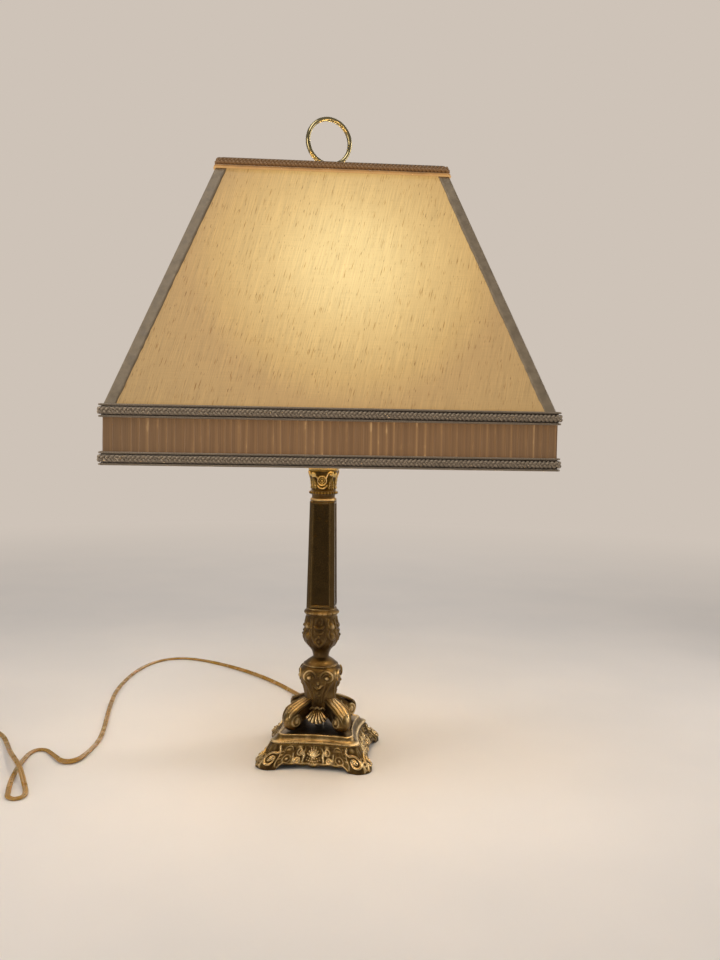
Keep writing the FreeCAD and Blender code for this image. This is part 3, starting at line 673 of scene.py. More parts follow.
def make_plug():
    """A moulded polarised plug: rounded body with a waist and finger ridges, and a stepped strain relief."""
    x, y, z = PLUG_AT
    rows, columns = 46, 40
    along = np.linspace(0, 1, rows)
    start, end = y - 12.0, y - 38.0
    a = np.linspace(0, 2 * math.pi, columns, endpoint=False)
    waist = 1.9 * np.sin(along * math.pi) ** 2 * (along < 0.62)
    wide = 11.0 - waist - 1.2 * np.clip((0.12 - along) / 0.12, 0, 1)
    wide = wide + 0.35 * np.sin(along * 60) * (along > 0.2) * (along < 0.62)
    tall = 6.2 - 0.9 * np.clip((0.2 - along) / 0.2, 0, 1)
    close = np.sqrt(np.clip(1 - np.clip((np.abs(along - 0.5) - 0.44) / 0.06, 0, 1) ** 2 * 0.6, 0, 1))
    points = np.zeros((rows, columns, 3))
    squarish = np.maximum(np.abs(np.cos(a)), np.abs(np.sin(a))) ** -0.72
    points[..., 0] = x + (wide * close)[:, None] * (np.cos(a) * squarish).clip(-1, 1)
    points[..., 1] = (start + (end - start) * along)[:, None]
    points[..., 2] = z + (tall * close)[:, None] * (np.sin(a) * squarish).clip(-1, 1)
    body = grid_object("plug", points[:, ::-1], PLUG, wrap_columns=True, caps=True)
    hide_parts("plug_body")

    reach = np.linspace(0, 1, 60)
    line = np.column_stack([np.full(60, x), y + 2.0 - 15.0 * reach, np.full(60, z)])
    grooves = 0.22 * (np.sin(reach * 2 * math.pi * 5) > 0)
    rings = sweep(line, round_section(1.0, 24, 1.15), 3.0 + 2.2 * reach - grooves)
    relief = grid_object("plug_relief", rings, PLUG, wrap_columns=True, caps=True)
    for piece in (body, relief):
        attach(piece, "lamp")
    return body, relief


make_lead()


# ---------------------------------------------------------------- shade
MID_Z, TOP_Z = 362.5, 588.5
HALF_MID, HALF_TOP = 189.0, 101.5
BAND_HALF = 190.0
BAND_LOW, BAND_HIGH = 312.0, 361.5
BULB_SEEN = (0.013, 0.0, 0.440)     # the glow in the silk is laid out round this point
SILK_LOW, SILK_HIGH = 360.8, 587.4
LINING_LOW, LINING_HIGH = 363.0, 586.0
LINING_IN = 1.75                # how far the lining lies inside the silk's outer face
BINDING_LOW, BINDING_HIGH = 361.5, 577.5
STRIP_COLUMNS = 30              # points along one side of the strip behind the pleats
SIDE_APART = 400.0              # the sides lie this far apart in the cloth's flat coordinates
SIDES = ("front", "right", "back", "left")


def half_at(z):
    return HALF_MID + (z - MID_Z) / (TOP_Z - MID_Z) * (HALF_TOP - HALF_MID)


def on_side(side, across, out, z):
    """Points on one side of the square shade, counted anticlockwise from the front."""
    across, out, z = np.broadcast_arrays(across, out, z)
    return quarter_turned(np.stack([across, -out, z], -1).astype(float), side)


def far_from_bulb(f, low, high):
    """How far a place on the shade is from the bulb: 0 at low metres, 1 at high metres."""
    apart = f.node("ShaderNodeVectorMath", operation="DISTANCE")
    f.feed(apart.inputs[0], f.place)
    apart.inputs[1].default_value = BULB_SEEN
    return f.span(apart.outputs["Value"], low, high)


def slanted(f, degrees):
    """The flat coordinates of the cloth, turned."""
    turn = f.node("ShaderNodeVectorRotate", rotation_type="Z_AXIS")
    f.feed(turn.inputs["Vector"], f.cloth)
    turn.inputs["Angle"].default_value = math.radians(degrees)
    return turn.outputs[0]


# The light in the silk, from the nearest to the bulb to the farthest.
GLOW = [(0.06, srgb(236, 205, 138)), (0.16, srgb(215, 180, 114)), (0.24, srgb(202, 166, 102)),
        (0.33, srgb(191, 153, 90)), (0.45, srgb(171, 133, 79)), (1.0, srgb(155, 121, 71))]


def silk():
    """Raw silk with slubs, lit from inside: palest where the bulb is nearest."""
    f = Finish("silk", Sheen_Weight=0.25, Sheen_Roughness=0.4)
    grain = slanted(f, 13.0)
    threads = f.noise((1500.0, 26.0, 1.0), 3.0, source=grain)
    weft = f.noise((40.0, 1500.0, 1.0), 2.0, source=f.cloth)
    broad = f.noise((160.0, 9.0, 1.0), 2.0, source=grain)
    slubs = f.span(f.noise((1000.0, 75.0, 1.0), 2.0, 0.4, source=grain), 0.63, 0.74)
    specks = f.span(f.noise((1300.0, 130.0, 1.0), 1.0, 0.4, source=grain), 0.70, 0.78)
    weave = f.times(f.span(threads, 0.25, 0.75, 0.82, 1.15), f.span(broad, 0.3, 0.7, 0.97, 1.03))
    weave = f.times(weave, f.span(weft, 0.3, 0.7, 0.96, 1.04))
    marks = f.mix(slubs, (1, 1, 1, 1), srgb(206, 188, 160))
    marks = f.mix(specks, marks, srgb(156, 130, 98))
    glow = f.ramp(far_from_bulb(f, 0.140, 0.280), *GLOW)
    cloth = f.mix(1.0, marks, f.grey(weave), "MULTIPLY")
    f.goes_to("Base Color", f.mix(1.0, cloth, srgb(110, 97, 76), "MULTIPLY"))
    f.goes_to("Emission Color", f.mix(1.0, cloth, glow, "MULTIPLY"))
    f.shader.inputs["Emission Strength"].default_value = 1.0
    f.goes_to("Roughness", f.span(threads, 0.3, 0.7, 0.55, 0.75))
    f.bump(f.sum(threads, f.times(slubs, 0.8)), 0.00022)
    f.bump(weft, 0.00008)
    return f.material


def lining_cloth(name="lining_fabric", strength=0.5):
    """Plain woven lining, brightest where the bulb is nearest."""
    f = Finish(name, Roughness=0.8, Sheen_Weight=0.2, Sheen_Roughness=0.5)
    warp = f.wave(260.0, f.cloth, "X", 0.5)
    weft = f.wave(260.0, f.cloth, "Y", 0.5)
    cloud = f.noise(40.0, 3.0)
    mottle = f.sum(cloud, f.span(warp, 0.0, 1.0, -0.06, 0.06))
    f.goes_to("Base Color", f.ramp(mottle, (0.3, srgb(226, 212, 184)), (0.7, srgb(240, 230, 206))))
    f.bump(f.sum(warp, weft), 0.00006)
    apart = far_from_bulb(f, 0.13, 0.28)
    f.goes_to("Emission Color", f.ramp(apart, (0.0, srgb(255, 228, 170)), (1.0, srgb(190, 150, 96))))
    f.shader.inputs["Emission Strength"].default_value = strength
    return f.material


def pleated_cloth():
    """Knife-pleated silk: light comes through where the cloth is single, and less where it is folded."""
    f = Finish("pleated_silk", Roughness=0.62, Sheen_Weight=0.2, Sheen_Roughness=0.4)
    single = f.tint()
    fine = f.noise((1400.0, 14.0, 1.0), 3.0, source=f.cloth)
    uneven = f.noise((26.0, 5.0, 1.0), 3.0, source=f.cloth)
    spots = f.span(f.noise((90.0, 70.0, 1.0), 2.0, source=f.cloth), 0.56, 0.72, 1.0, 1.7)
    patches = f.times(f.span(uneven, 0.3, 0.7, 0.45, 1.1), spots)
    light = f.sum(f.times(single, patches), f.span(fine, 0.3, 0.7, -0.1, 0.1))
    f.goes_to("Base Color", f.mix(f.span(fine, 0.3, 0.7), srgb(100, 77, 53), srgb(118, 92, 64)))
    lit = f.ramp(light, (0.0, srgb(96, 65, 37)), (0.5, srgb(122, 87, 52)), (0.9, srgb(156, 116, 72)),
                 (1.0, srgb(186, 146, 98)))
    f.goes_to("Emission Color", f.mix(far_from_bulb(f, 0.235, 0.36), lit, srgb(54, 44, 32)))
    f.shader.inputs["Emission Strength"].default_value = 0.72
    f.bump(fine, 0.00012)
    return f.material


def gimp_thread(name, low, high, shade_and_mottle_colour):
    """Rayon gimp: fine lustrous threads wrapped slantwise round each strand, with painted shade on the deeper
    strands and on the tape.
    """
    f = Finish(name, Roughness=0.5, Sheen_Weight=0.3, Sheen_Roughness=0.35)
    threads = f.wave(300.0, f.cloth, "DIAGONAL", 1.5)
    cloud = f.noise(160.0, 4.0, 0.6)
    shade = f.mix(f.span(threads, 0.1, 0.9), low, high)
    # Painted shade: the deeper a strand lies, the more it takes of the dark colour; the tape takes it in
    # full.
    shade = f.mix(f.span(f.tint(), 0.0, 1.0), shade_and_mottle_colour, shade)
    # The same dark colour also comes in as a random mottle.
    f.goes_to("Base Color", f.mix(f.span(cloud, 0.3, 0.7, 0.0, 0.3), shade, shade_and_mottle_colour))
    f.bump(threads, 0.00007)
    return f


def lit_gimp():
    """The gimp on the top ring, lit through from below, most of all its lowest cords."""
    f = gimp_thread("gimp_lit", srgb(88, 70, 48), srgb(124, 100, 70), srgb(70, 54, 36))
    apart = f.node("ShaderNodeSeparateXYZ")
    f.feed(apart.inputs[0], f.place)
    up = f.sum(apart.outputs["Z"], f.span(f.noise(90.0, 3.0), 0.3, 0.7, -0.0006, 0.0006))
    lit = f.ramp(f.span(up, 0.5765, 0.5885), (0.0, srgb(214, 164, 98)), (0.16, srgb(194, 142, 80)),
                 (0.36, srgb(104, 68, 34)), (1.0, srgb(68, 46, 24)))
    # Painted shade in the glow: the deeper strands and the tape give out less light.
    raised = f.grey(f.span(f.tint(), 0.0, 1.0, 0.45, 1.1))
    f.goes_to("Emission Color", f.mix(1.0, lit, raised, "MULTIPLY"))
    f.shader.inputs["Emission Strength"].default_value = 0.9
    return f.material


def bias_satin():
    """Satin cut on the bias, so its weave runs slantwise."""
    f = Finish("bias_binding", Roughness=0.42, Sheen_Weight=0.3, Sheen_Roughness=0.3)
    weave = f.wave(420.0, slanted(f, 45.0), "X", 0.8)
    cloud = f.noise(120.0, 4.0, 0.6)
    f.goes_to("Base Color", f.mix(f.span(cloud, 0.3, 0.7), srgb(118, 103, 82), srgb(146, 130, 106)))
    f.goes_to("Roughness", f.span(cloud, 0.3, 0.7, 0.36, 0.52))
    f.bump(weave, 0.00005)
    return f.material


def slab(name, outer, inner, material, tint=None):
    """A thin closed sheet between two grids of points of the same size."""
    ring = np.concatenate([outer, inner[:, ::-1]], 1)
    return grid_object(name, ring, material, wrap_columns=True, caps=True, tint=tint)


def shade_piece(piece, slot, *nodes):
    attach(piece, "shade")
    if nodes:
        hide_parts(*nodes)
    return piece


def drawn_in(across, rise):
    """How far the stretched cloth is drawn in between the corners of its frame, in millimetres."""
    return (1 - across ** 2) * np.sin(math.pi * rise) ** 0.7


def make_panels():
    """Four silk panels stretched over the frame, drawn in a little between its corners."""
    material = silk()
    rows, columns = 70, 72
    z = np.linspace(SILK_LOW, SILK_HIGH, rows)[:, None]
    across = np.linspace(-1, 1, columns)[None]
    slope = math.hypot(1.0, (HALF_TOP - HALF_MID) / (TOP_Z - MID_Z))
    rise = (z - z[0]) / (z[-1] - z[0])
    for side, word in enumerate(SIDES):
        ripple = 0.22 * np.sin(across * 7.1 + side * 2.0 + rise * 2.2) * np.sin(math.pi * rise)
        sag = drawn_in(across, rise) + ripple
        out = half_at(z) - sag
        outer = on_side(side, across * (half_at(z) - 0.3), out, z + 0 * across)
        inner = on_side(side, across * (half_at(z) - 0.9), out - 0.6, z + 0 * across)
        panel = slab("silk_panel_" + word, outer, inner, material)
        u = np.concatenate([across * half_at(z), (across * half_at(z))[:, ::-1]], 1)
        v = np.broadcast_to((z - z[0]) * slope, u.shape)
        add_uv(panel, u + SIDE_APART * side, v)
        shade_piece(panel, "silk", "shade_panel_" + word)


def make_lining():
    """One closed skin inside the silk, right round the frame."""
    material = lining_cloth()
    rows, columns = 40, 40
    z = np.linspace(LINING_LOW, LINING_HIGH, rows)[:, None]
    across = np.linspace(-1, 1, columns)[None]
    out = half_at(z) - LINING_IN - drawn_in(across, (z - z[0]) / (z[-1] - z[0]))
    outer, inner, flat = [], [], []
    for side in range(4):
        outer.append(on_side(side, across * (half_at(z) - LINING_IN), out, z + 0 * across)[:, :-1])
        inner.append(on_side(side, across * (half_at(z) - 2.2), out - 0.45, z + 0 * across)[:, :-1])
        flat.append((across * half_at(z) + SIDE_APART * side)[:, :-1])
    outer, inner = np.concatenate(outer, 1), np.concatenate(inner, 1)
    tube = np.concatenate([outer, outer[-1:], inner[::-1], outer[:1]])
    tube[rows] = (outer[-1] + inner[-1]) / 2 + (0, 0, 0.3)
    tube[-1] = (outer[0] + inner[0]) / 2 - (0, 0, 0.3)
    lining = grid_object("lining", tube, material, wrap_rows=True, wrap_columns=True)
    u = np.concatenate(flat, 1)
    u = np.concatenate([u, u[-1:], u[::-1], u[:1]])
    add_uv(lining, u, tube[..., 2] * 1.07)
    shade_piece(lining, "lining_fabric", "shade_lining")


PLEAT = 7.1                 # what shows of one knife pleat
TUCK = 3.0                  # how far each fold runs under the next
# One pleat from fold to fold: (share of the pitch, tuck, height over the backing, how single it is)
PLEAT_LINE = [
    (0.0, -0.07, 0.95, 0.25), (0.0, 0.0, 1.22, 0.3), (0.0, 0.2, 1.26, 0.1), (0.5, 0.0, 1.02, 0.15),
    (0.62, 0.0, 0.92, 0.35), (0.85, 0.0, 0.72, 1.0), (1.0, -0.05, 0.52, 0.85), (1.0, 0.9, 0.24, 0.2),
    (1.0, 1.0, 0.32, 0.0), (1.0, 0.85, 0.45, 0.0), (1.0, 0.05, 0.72, 0.0),
]
VISIBLE_PLEAT = 7               # how many of these the last pleat on a side has, as nothing covers it


def make_band():
    """The band under the pyramid: silk laid in knife pleats round the frame."""
    material = pleated_cloth()
    z = np.linspace(BAND_LOW, BAND_HIGH, 9)[:, None]
    for side, word in enumerate(SIDES):
        draw = np.random.default_rng(40 + side)
        edges, at = [], -BAND_HALF - 0.2
        while at < BAND_HALF - 5.0:
            edges.append(at)
            at += PLEAT * draw.uniform(0.8, 1.2)
        edges.append(BAND_HALF + 0.6)
        across, out, single = [], [], []
        for k, (low, high) in enumerate(zip(edges[:-1], edges[1:])):
            lean, phase = draw.uniform(-0.5, 0.5), draw.uniform(0, 6.28)
            next_lean = draw.uniform(-0.12, 0.12)
            wobble = lean * (z - BAND_LOW) / (BAND_HIGH - BAND_LOW) + 0.22 * np.sin(z * 0.09 + phase)
            bright = draw.uniform(0.55, 1.0)
            last = k == len(edges) - 2
            for share, tuck, height, one in PLEAT_LINE[:VISIBLE_PLEAT] if last else PLEAT_LINE:
                move = wobble * (1 - share) + next_lean
                across.append(low + share * (high - low) + tuck * TUCK + (0 if last else move))
                out.append(BAND_HALF + height + 0.05 * np.sin(z * 0.2 + phase))
                single.append(np.full_like(z, one * bright))
        across = np.concatenate([np.broadcast_to(a, z.shape) for a in across], 1)
        out, single = np.concatenate(out, 1), np.concatenate(single, 1)
        points = on_side(side, across, out, np.broadcast_to(z, across.shape))
        run = run_length(points[4])
        band = grid_object("pleated_band_" + word + "_cloth", points, material, tint=single)
        add_uv(band, np.broadcast_to(run, across.shape), np.broadcast_to(z - BAND_LOW, across.shape))
        shade_piece(band, "pleated_silk", "pleated_band_" + word)


def make_band_strip():
    """A plain strip behind the pleats, which keeps the light in."""
    z = np.linspace(BAND_LOW + 0.5, BAND_HIGH, 6)[:, None]
    across = np.linspace(-1, 1, STRIP_COLUMNS)[None]
    outer, inner = [], []
    for side in range(4):
        outer.append(on_side(side, across * BAND_HALF, BAND_HALF, z + 0 * across)[:, :-1])
        inner.append(on_side(side, across * (BAND_HALF - 0.4), BAND_HALF - 0.4, z + 0 * across)[:, :-1])
    outer, inner = np.concatenate(outer, 1), np.concatenate(inner, 1)
    skin = np.concatenate([outer, inner[::-1]])
    material = lining_cloth("band_lining_cloth", 0.06)
    strip = grid_object("band_lining", skin, material, wrap_rows=True, wrap_columns=True)
    heights = np.concatenate([z[:, 0], z[::-1, 0]])[:, None]
    shape = skin.shape[:2]
    add_uv(strip, np.broadcast_to(np.arange(shape[1]) * 13.0, shape), np.broadcast_to(heights, shape))
    shade_piece(strip, "lining_fabric")


def square_path(half, z, step, corner=2.6):
    """A closed square path with rounded corners, anticlockwise, with points about a step apart."""
    arc = np.linspace(0, math.pi / 2, 7)[1:-1]
    points = []
    for side in range(4):
        low = np.array([[-half + corner, -half], [half - corner, -half]])
        bend = np.column_stack([half - corner + corner * np.sin(arc), -half + corner - corner * np.cos(arc)])
        part = np.vstack([low, bend])
        for _ in range(side):
            part = np.column_stack([-part[:, 1], part[:, 0]])
        points.append(part)
    ring = np.vstack(points)
    ring = even(np.vstack([ring, ring[:1]]), int(8 * half / step) + 1)[:-1]
    return np.column_stack([ring, np.full(len(ring), z)])


def flat_grid(u, v):
    """Flat coordinates of a grid of vertices, one pair for each."""
    return np.stack(np.meshgrid(u, v, indexing="ij"), -1).reshape(-1, 2)


def make_trim(name, node, half, low, slope, cords, material):
    """Plaited gimp on a tape, with fine cords beside it. slope leans it in with the pyramid."""
    step = TRIM_STEP
    count = int(8 * half / step)
    periods = round(8 * half / BRAID_PERIOD)

    def laid(height, out):
        """Closed path on the trim at a height over its lower edge and a distance out."""
        h = np.broadcast_to(height, (count,))
        o = np.broadcast_to(out, (count,))
        base = square_path(half, 0.0, step)[:count]
        grow = 1 + (o - slope * h)[:, None] / half
        return np.column_stack([base[:, :2] * grow, low + h])

    t = np.arange(count) / count * 2 * math.pi * periods
    heights, outs, sections = [], [], []
    for k in range(3):
        phase = t + k * 2 * math.pi / 3
        heights.append(BRAID_MIDDLE[cords] + BRAID_SWING * np.sin(phase))
        outs.append(2.0 + 0.75 * np.sin(2 * phase))
        sections.append(round_section(STRAND_R, 8, 1.15))
    for height in CORD_HEIGHTS[cords]:
        heights.append(height)
        outs.append(CORD_OUT)
        sections.append(round_section(CORD_R, 8))
    vertices, faces, flat, depth = [], [], [], []
    for height, out, section in zip(heights, outs, sections):
        line = laid(height, out)
        rings = sweep(line, section, closed=True)
        # How far out each strand lies; the gimp's material turns this into painted shade on the deeper
        # strands.
        depth.append(np.repeat(np.clip((np.broadcast_to(out, (count,)) - 1.2) / 1.2, 0, 1), len(section)))
        faces += grid_faces(len(line), len(section), True, True, start=sum(len(v) for v in vertices))
        vertices.append(rings.reshape(-1, 3))
        flat.append(flat_grid(np.arange(len(line)) * step, np.arange(len(section)) * 0.8))
    tape = np.array([(0.4, 0.0), (0.4, 0.9), (TAPE_HIGH - 0.4, 0.9), (TAPE_HIGH - 0.4, 0.0)])
    rings = np.stack([laid(h, o) for h, o in tape], 1)
    # The tape lies deepest, so it is fully in painted shade.
    depth.append(np.zeros(count * 4))
    faces += grid_faces(count, 4, True, True, start=sum(len(v) for v in vertices))
    vertices.append(rings.reshape(-1, 3))
    flat.append(flat_grid(np.arange(count) * step, tape[:, 0]))
    trim = new_object(name, np.concatenate(vertices) * MM, faces, material=material)
    layer = trim.data.attributes.new("tint", "FLOAT", "POINT")
    layer.data.foreach_set("value", np.concatenate(depth))
    flat = np.concatenate(flat)
    add_uv(trim, flat[:, 0], flat[:, 1])
    shade_piece(trim, "gimp", node)


TRIM_STEP = 0.85                # distance between points along a trim
BRAID_PERIOD = 10.6             # length in which one strand goes across and back
BRAID_SWING = 2.0
STRAND_R = 1.2
CORD_R, CORD_OUT = 0.85, 2.1    # the cords beside the plait, and how far out they lie
TAPE_HIGH = 11.5
BRAID_MIDDLE = {"both": 5.75, "under": 7.4}
CORD_HEIGHTS = {"both": (0.95, 10.55), "under": (0.9, 2.7)}
# The third colour is the painted shade of the deeper strands and the tape, and a random mottle.
GIMP = gimp_thread("gimp", srgb(126, 110, 92), srgb(178, 160, 136), srgb(84, 72, 58)).material
LIT_GIMP = lit_gimp()


def make_bindings():
    """A strip of bias satin folded over each corner of the pyramid, puckered along its length."""
    material = bias_satin()
    rows, legs = 160, 9
    z = np.linspace(BINDING_LOW, BINDING_HIGH, rows)
    reach = np.concatenate([np.linspace(9.2, 1.2, legs), np.zeros(5)])
    for corner in range(4):
        draw = np.random.default_rng(60 + corner)
        puckers = [np.interp(z, np.linspace(z[0], z[-1], count), draw.uniform(-1, 1, count))
                   for count in (60, 45)]
        half = half_at(z)
        columns = []
        for leg, ruffle in enumerate(puckers):
            part = []
            for k in range(legs):
                d = reach[k] + (0.35 * ruffle if k == 0 else 0)
                lift = 0.25 + 0.75 * math.sin(min(1.0, (k + 0.3) / 2.0) * math.pi / 2)
                lift = lift + 0.28 * ruffle * math.sin(math.pi * (k + 1) / (legs + 1)) + 0.15 * (k in (1, 2))
                part.append((half - d, -half - lift) if leg == 0 else (half + lift, -half + d))
            columns.append([np.column_stack([x * np.ones(rows), y * np.ones(rows), z]) for x, y in part])
        bend = []
        for angle in np.linspace(0, math.pi / 2, 7)[1:-1]:
            x, y = half - 0.7 + 1.7 * math.sin(angle), -half + 0.7 - 1.7 * math.cos(angle)
            bend.append(np.column_stack([x, y, z]))
        outer = np.stack(columns[0] + bend + columns[1][::-1], 1)
        inward = outer.copy()
        inward[..., 0] -= 0.3 + 0.25 * (outer[..., 0] > (half - 0.5)[:, None])
        inward[..., 1] += 0.3 + 0.25 * (outer[..., 1] < (-half + 0.5)[:, None])
        turn = quarter_matrix(corner)
        piece = slab(f"binding_{corner + 1}", outer @ turn.T, inward @ turn.T, material)
        u = np.broadcast_to(np.arange(outer.shape[1] * 2) * 1.0, (rows, outer.shape[1] * 2))
        add_uv(piece, u, np.broadcast_to(z[:, None], u.shape))
        shade_piece(piece, "bias_binding", *(["corner_bindings"] if corner == 0 else []))


make_panels()
make_lining()
make_band()
make_band_strip()
make_trim("trim_bottom", "braid_bottom", 191.2, 311.5, 0.0, "both", GIMP)
make_trim("trim_middle", "braid_middle", 191.2, 351.0, 0.0, "both", GIMP)
make_trim("trim_top", "braid_top", half_at(577.0) + 0.2, 577.0, 87.5 / 226.0, "under", LIT_GIMP)
make_bindings()


# ---------------------------------------------------------------- cast body
# Half width, bow of each side, corner radius and height of the base, going up its outside.
BASE_LINE = [(59.6, 7.6, 15.0, 0.0), (59.4, 7.6, 14.8, 3.0), (57.4, 7.2, 14.0, 6.5), (53.2, 6.4, 12.4, 11.0),
             (49.2, 5.4, 10.8, 15.6), (46.4, 4.8, 9.8, 20.0), (45.2, 4.5, 9.4, 22.5)]
MOULDING = [(45.2, 4.5, 9.3, 23.0), (45.7, 4.5, 9.1, 23.5), (45.9, 4.5, 9.1, 24.1), (45.4, 4.4, 8.9, 24.7),
            (43.6, 4.1, 8.4, 25.1), (41.6, 3.8, 7.9, 26.1), (40.3, 3.5, 7.5, 27.4), (39.6, 3.4, 7.3, 28.7),
            (39.5, 3.3, 7.1, 29.5), (38.9, 3.2, 7.0, 30.3), (38.0, 3.1, 6.8, 30.7), (37.1, 3.0, 6.6, 30.5),
            (36.5, 3.0, 6.5, 30.0), (34.0, 2.8, 6.0, 30.0), (20.0, 1.0, 4.0, 30.4)]
MOULDING_ROWS = 44
# Brass tone at some of the moulding's rows: wear on its beads, painted shading across the hollow between
# them, and painted shade on the platform under the legs, darkest at its middle.
MOULDING_WEAR_AND_SHADE = [(0, 0.60), (9, 0.60), (15, 0.42), (24, 0.30), (30, 0.66), (34, 0.60), (37, 0.36), (40, 0.26),
                 (43, 0.04)]
UNDER_RIM = [(7.0, 12.0), (6.0, 3.5), (3.5, 0.6), (1.0, 0.0)]   # inset and lift of the rows under its edge
CANVAS = 49.0                   # half the width of one side's ornament, to the middle of its corners
FLAT_SHARE = 0.8                # how much of that is the side, the rest being half of each corner


def base_point(share, half, bow, corner, z):
    """A point on the front of the base; share runs from -1 to 1, between the middles of its two corners."""
    share, half, bow, corner, z = np.broadcast_arrays(share, half, bow, corner, z)
    reach = half - corner
    across = np.clip(share / FLAT_SHARE, -1, 1)
    angle = np.clip((np.abs(share) - FLAT_SHARE) / (1 - FLAT_SHARE), 0, 1) * math.pi / 4
    x = across * reach + np.sign(share) * corner * np.sin(angle)
    y = -half + bow * (1 - across ** 2) + corner * (1 - np.cos(angle))
    return np.stack([x, y, z], -1)


def apron(x):
    """Height of the underside between the feet, with shallow scallops."""
    foot = np.clip((33.5 - np.abs(x)) / 6.0, 0, 1)
    wave = 5.0 - 0.9 * np.abs(np.cos(x * math.pi / 10.5)) - 1.1 * np.exp(-(x / 7.0) ** 2)
    return wave * foot * foot * (3 - 2 * foot)


def frieze_ornament(x, y):
    """Rococo ornament on one side: shell, scrolls, rosettes, and a big scroll on each foot."""
    r = Relief(x, y)
    r.stroke([(-38.0, 23.8), (38.0, 23.8)], 0.8, 0.8)
    edge = np.linspace(-31.5, 31.5, 120)
    r.stroke(np.column_stack([edge, 1.1 * apron(edge) + 1.6]), 1.25, 1.2)
    # a shell over rows of beads, in a frame of two C-scrolls
    for k in range(7):
        a = math.radians(24 + 22 * k)
        r.stroke([(0.8 * math.cos(a), 12.0), (6.0 * math.cos(a), 11.6 + 7.6 * math.sin(a))], 1.05, 1.8)
        r.dot(6.6 * math.cos(a), 12.0 + 8.2 * math.sin(a), 1.05, 1.9)
    for count, apart, up in ((6, 2.3, 10.6), (7, 2.1, 8.3), (4, 2.2, 6.2)):
        for k in range(count):
            off = (k - (count - 1) / 2) * apart
            r.dot(off, up + 0.035 * off * off, 1.05, 1.75)
    for k in range(-1, 2):
        r.dot(k * 2.6, 21.9 - 0.5 * abs(k), 1.2, 1.4)
    for side in (-1, 1):
        way = -side
        r.ridge(side, [(8.6, 20.6), (9.8, 17.0), (8.8, 12.4), (10.2, 8.4), (7.4, 5.8)], 40, 1.15, 1.7, 0.3)
        r.scroll(side * 13.4, 16.2, 3.9, 1.25, 1.15, 1.7, math.pi / 2, way, tail=(side * 9.6, 8.4))
        r.scroll(side * 15.6, 9.4, 3.3, 1.2, 1.1, 1.7, -math.pi / 2, way, tail=(side * 20.4, 15.2))
        r.leaf(side * 11.2, 21.4, math.pi / 2 - side * 1.5, 6.6, 5.0, 1.4)
        r.leaf(side * 19.4, 6.2, math.pi / 2 + side * 0.2, 6.4, 4.6, 1.4)
        # a rosette in a ring, under a small framed panel
        ring = np.linspace(0, 2 * math.pi, 40)
        r.stroke(np.column_stack([side * 25.4 + 3.7 * np.cos(ring), 10.4 + 3.5 * np.sin(ring)]), 0.95, 1.2)
        r.dot(side * 25.4, 10.4, 1.8, 1.5)
        arch = [(21.2, 16.2), (22.4, 21.0), (26.0, 22.4), (29.4, 20.6), (30.0, 16.0)]
        r.ridge(side, arch, 30, 0.85, 1.4, 0.3)
        r.leaf(side * 22.8, 18.6, math.pi / 2 - side * 1.5, 6.0, 4.0, 1.2)
        for low in (17.8, 14.4, 11.0):
            r.stroke([(side * 30.6, low), (side * 33.6, low - 0.8)], 0.85, 1.3, taper=0.3)
        # the scroll on the foot, its stem running up to the moulding
        r.scroll(side * 40.4, 10.2, 6.6, 1.5, 1.35, 2.0, math.radians(90 + side * 35), way,
                 tail=(side * 36.2, 22.4))
        r.ridge(side, [(33.2, 3.6), (34.0, 8.0), (33.4, 14.0), (35.8, 22.6)], 30, 0.9, 1.3)
        r.leaf(side * 41.4, 18.4, math.pi / 2 - side * 0.1, 5.6, 4.0, 1.1)
        for k in range(5):
            a = math.radians(-84 + 34 * k)
            r.stroke([(side * (46.2 + 0.6 * math.cos(a)), 8.4 + 0.8 * math.sin(a)),
                      (side * (46.2 + 3.0 * math.cos(a)), 8.4 + 6.4 * math.sin(a))], 0.95, 1.5)
        r.stroke([(side * 47.4, 16.0), (side * 48.2, 23.0)], 1.2, 0.9, taper=0.3)
    # a pricked ground between the ornaments
    draw = np.random.default_rng(5)
    for _ in range(260):
        x_at, y_at = draw.uniform(-34, 34), draw.uniform(5.0, 22.8)
        r.dot(x_at, y_at, draw.uniform(0.6, 1.0), draw.uniform(0.3, 0.9))
    fade = np.clip((y - 1.1 * apron(x)) / 1.2, 0, 1) * np.clip((24.8 - y) / 0.6, 0, 1)
    return r.softened() * fade


def brass_piece(piece, slot, *nodes):
    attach(piece, "lamp")
    if nodes:
        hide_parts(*nodes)
    return piece


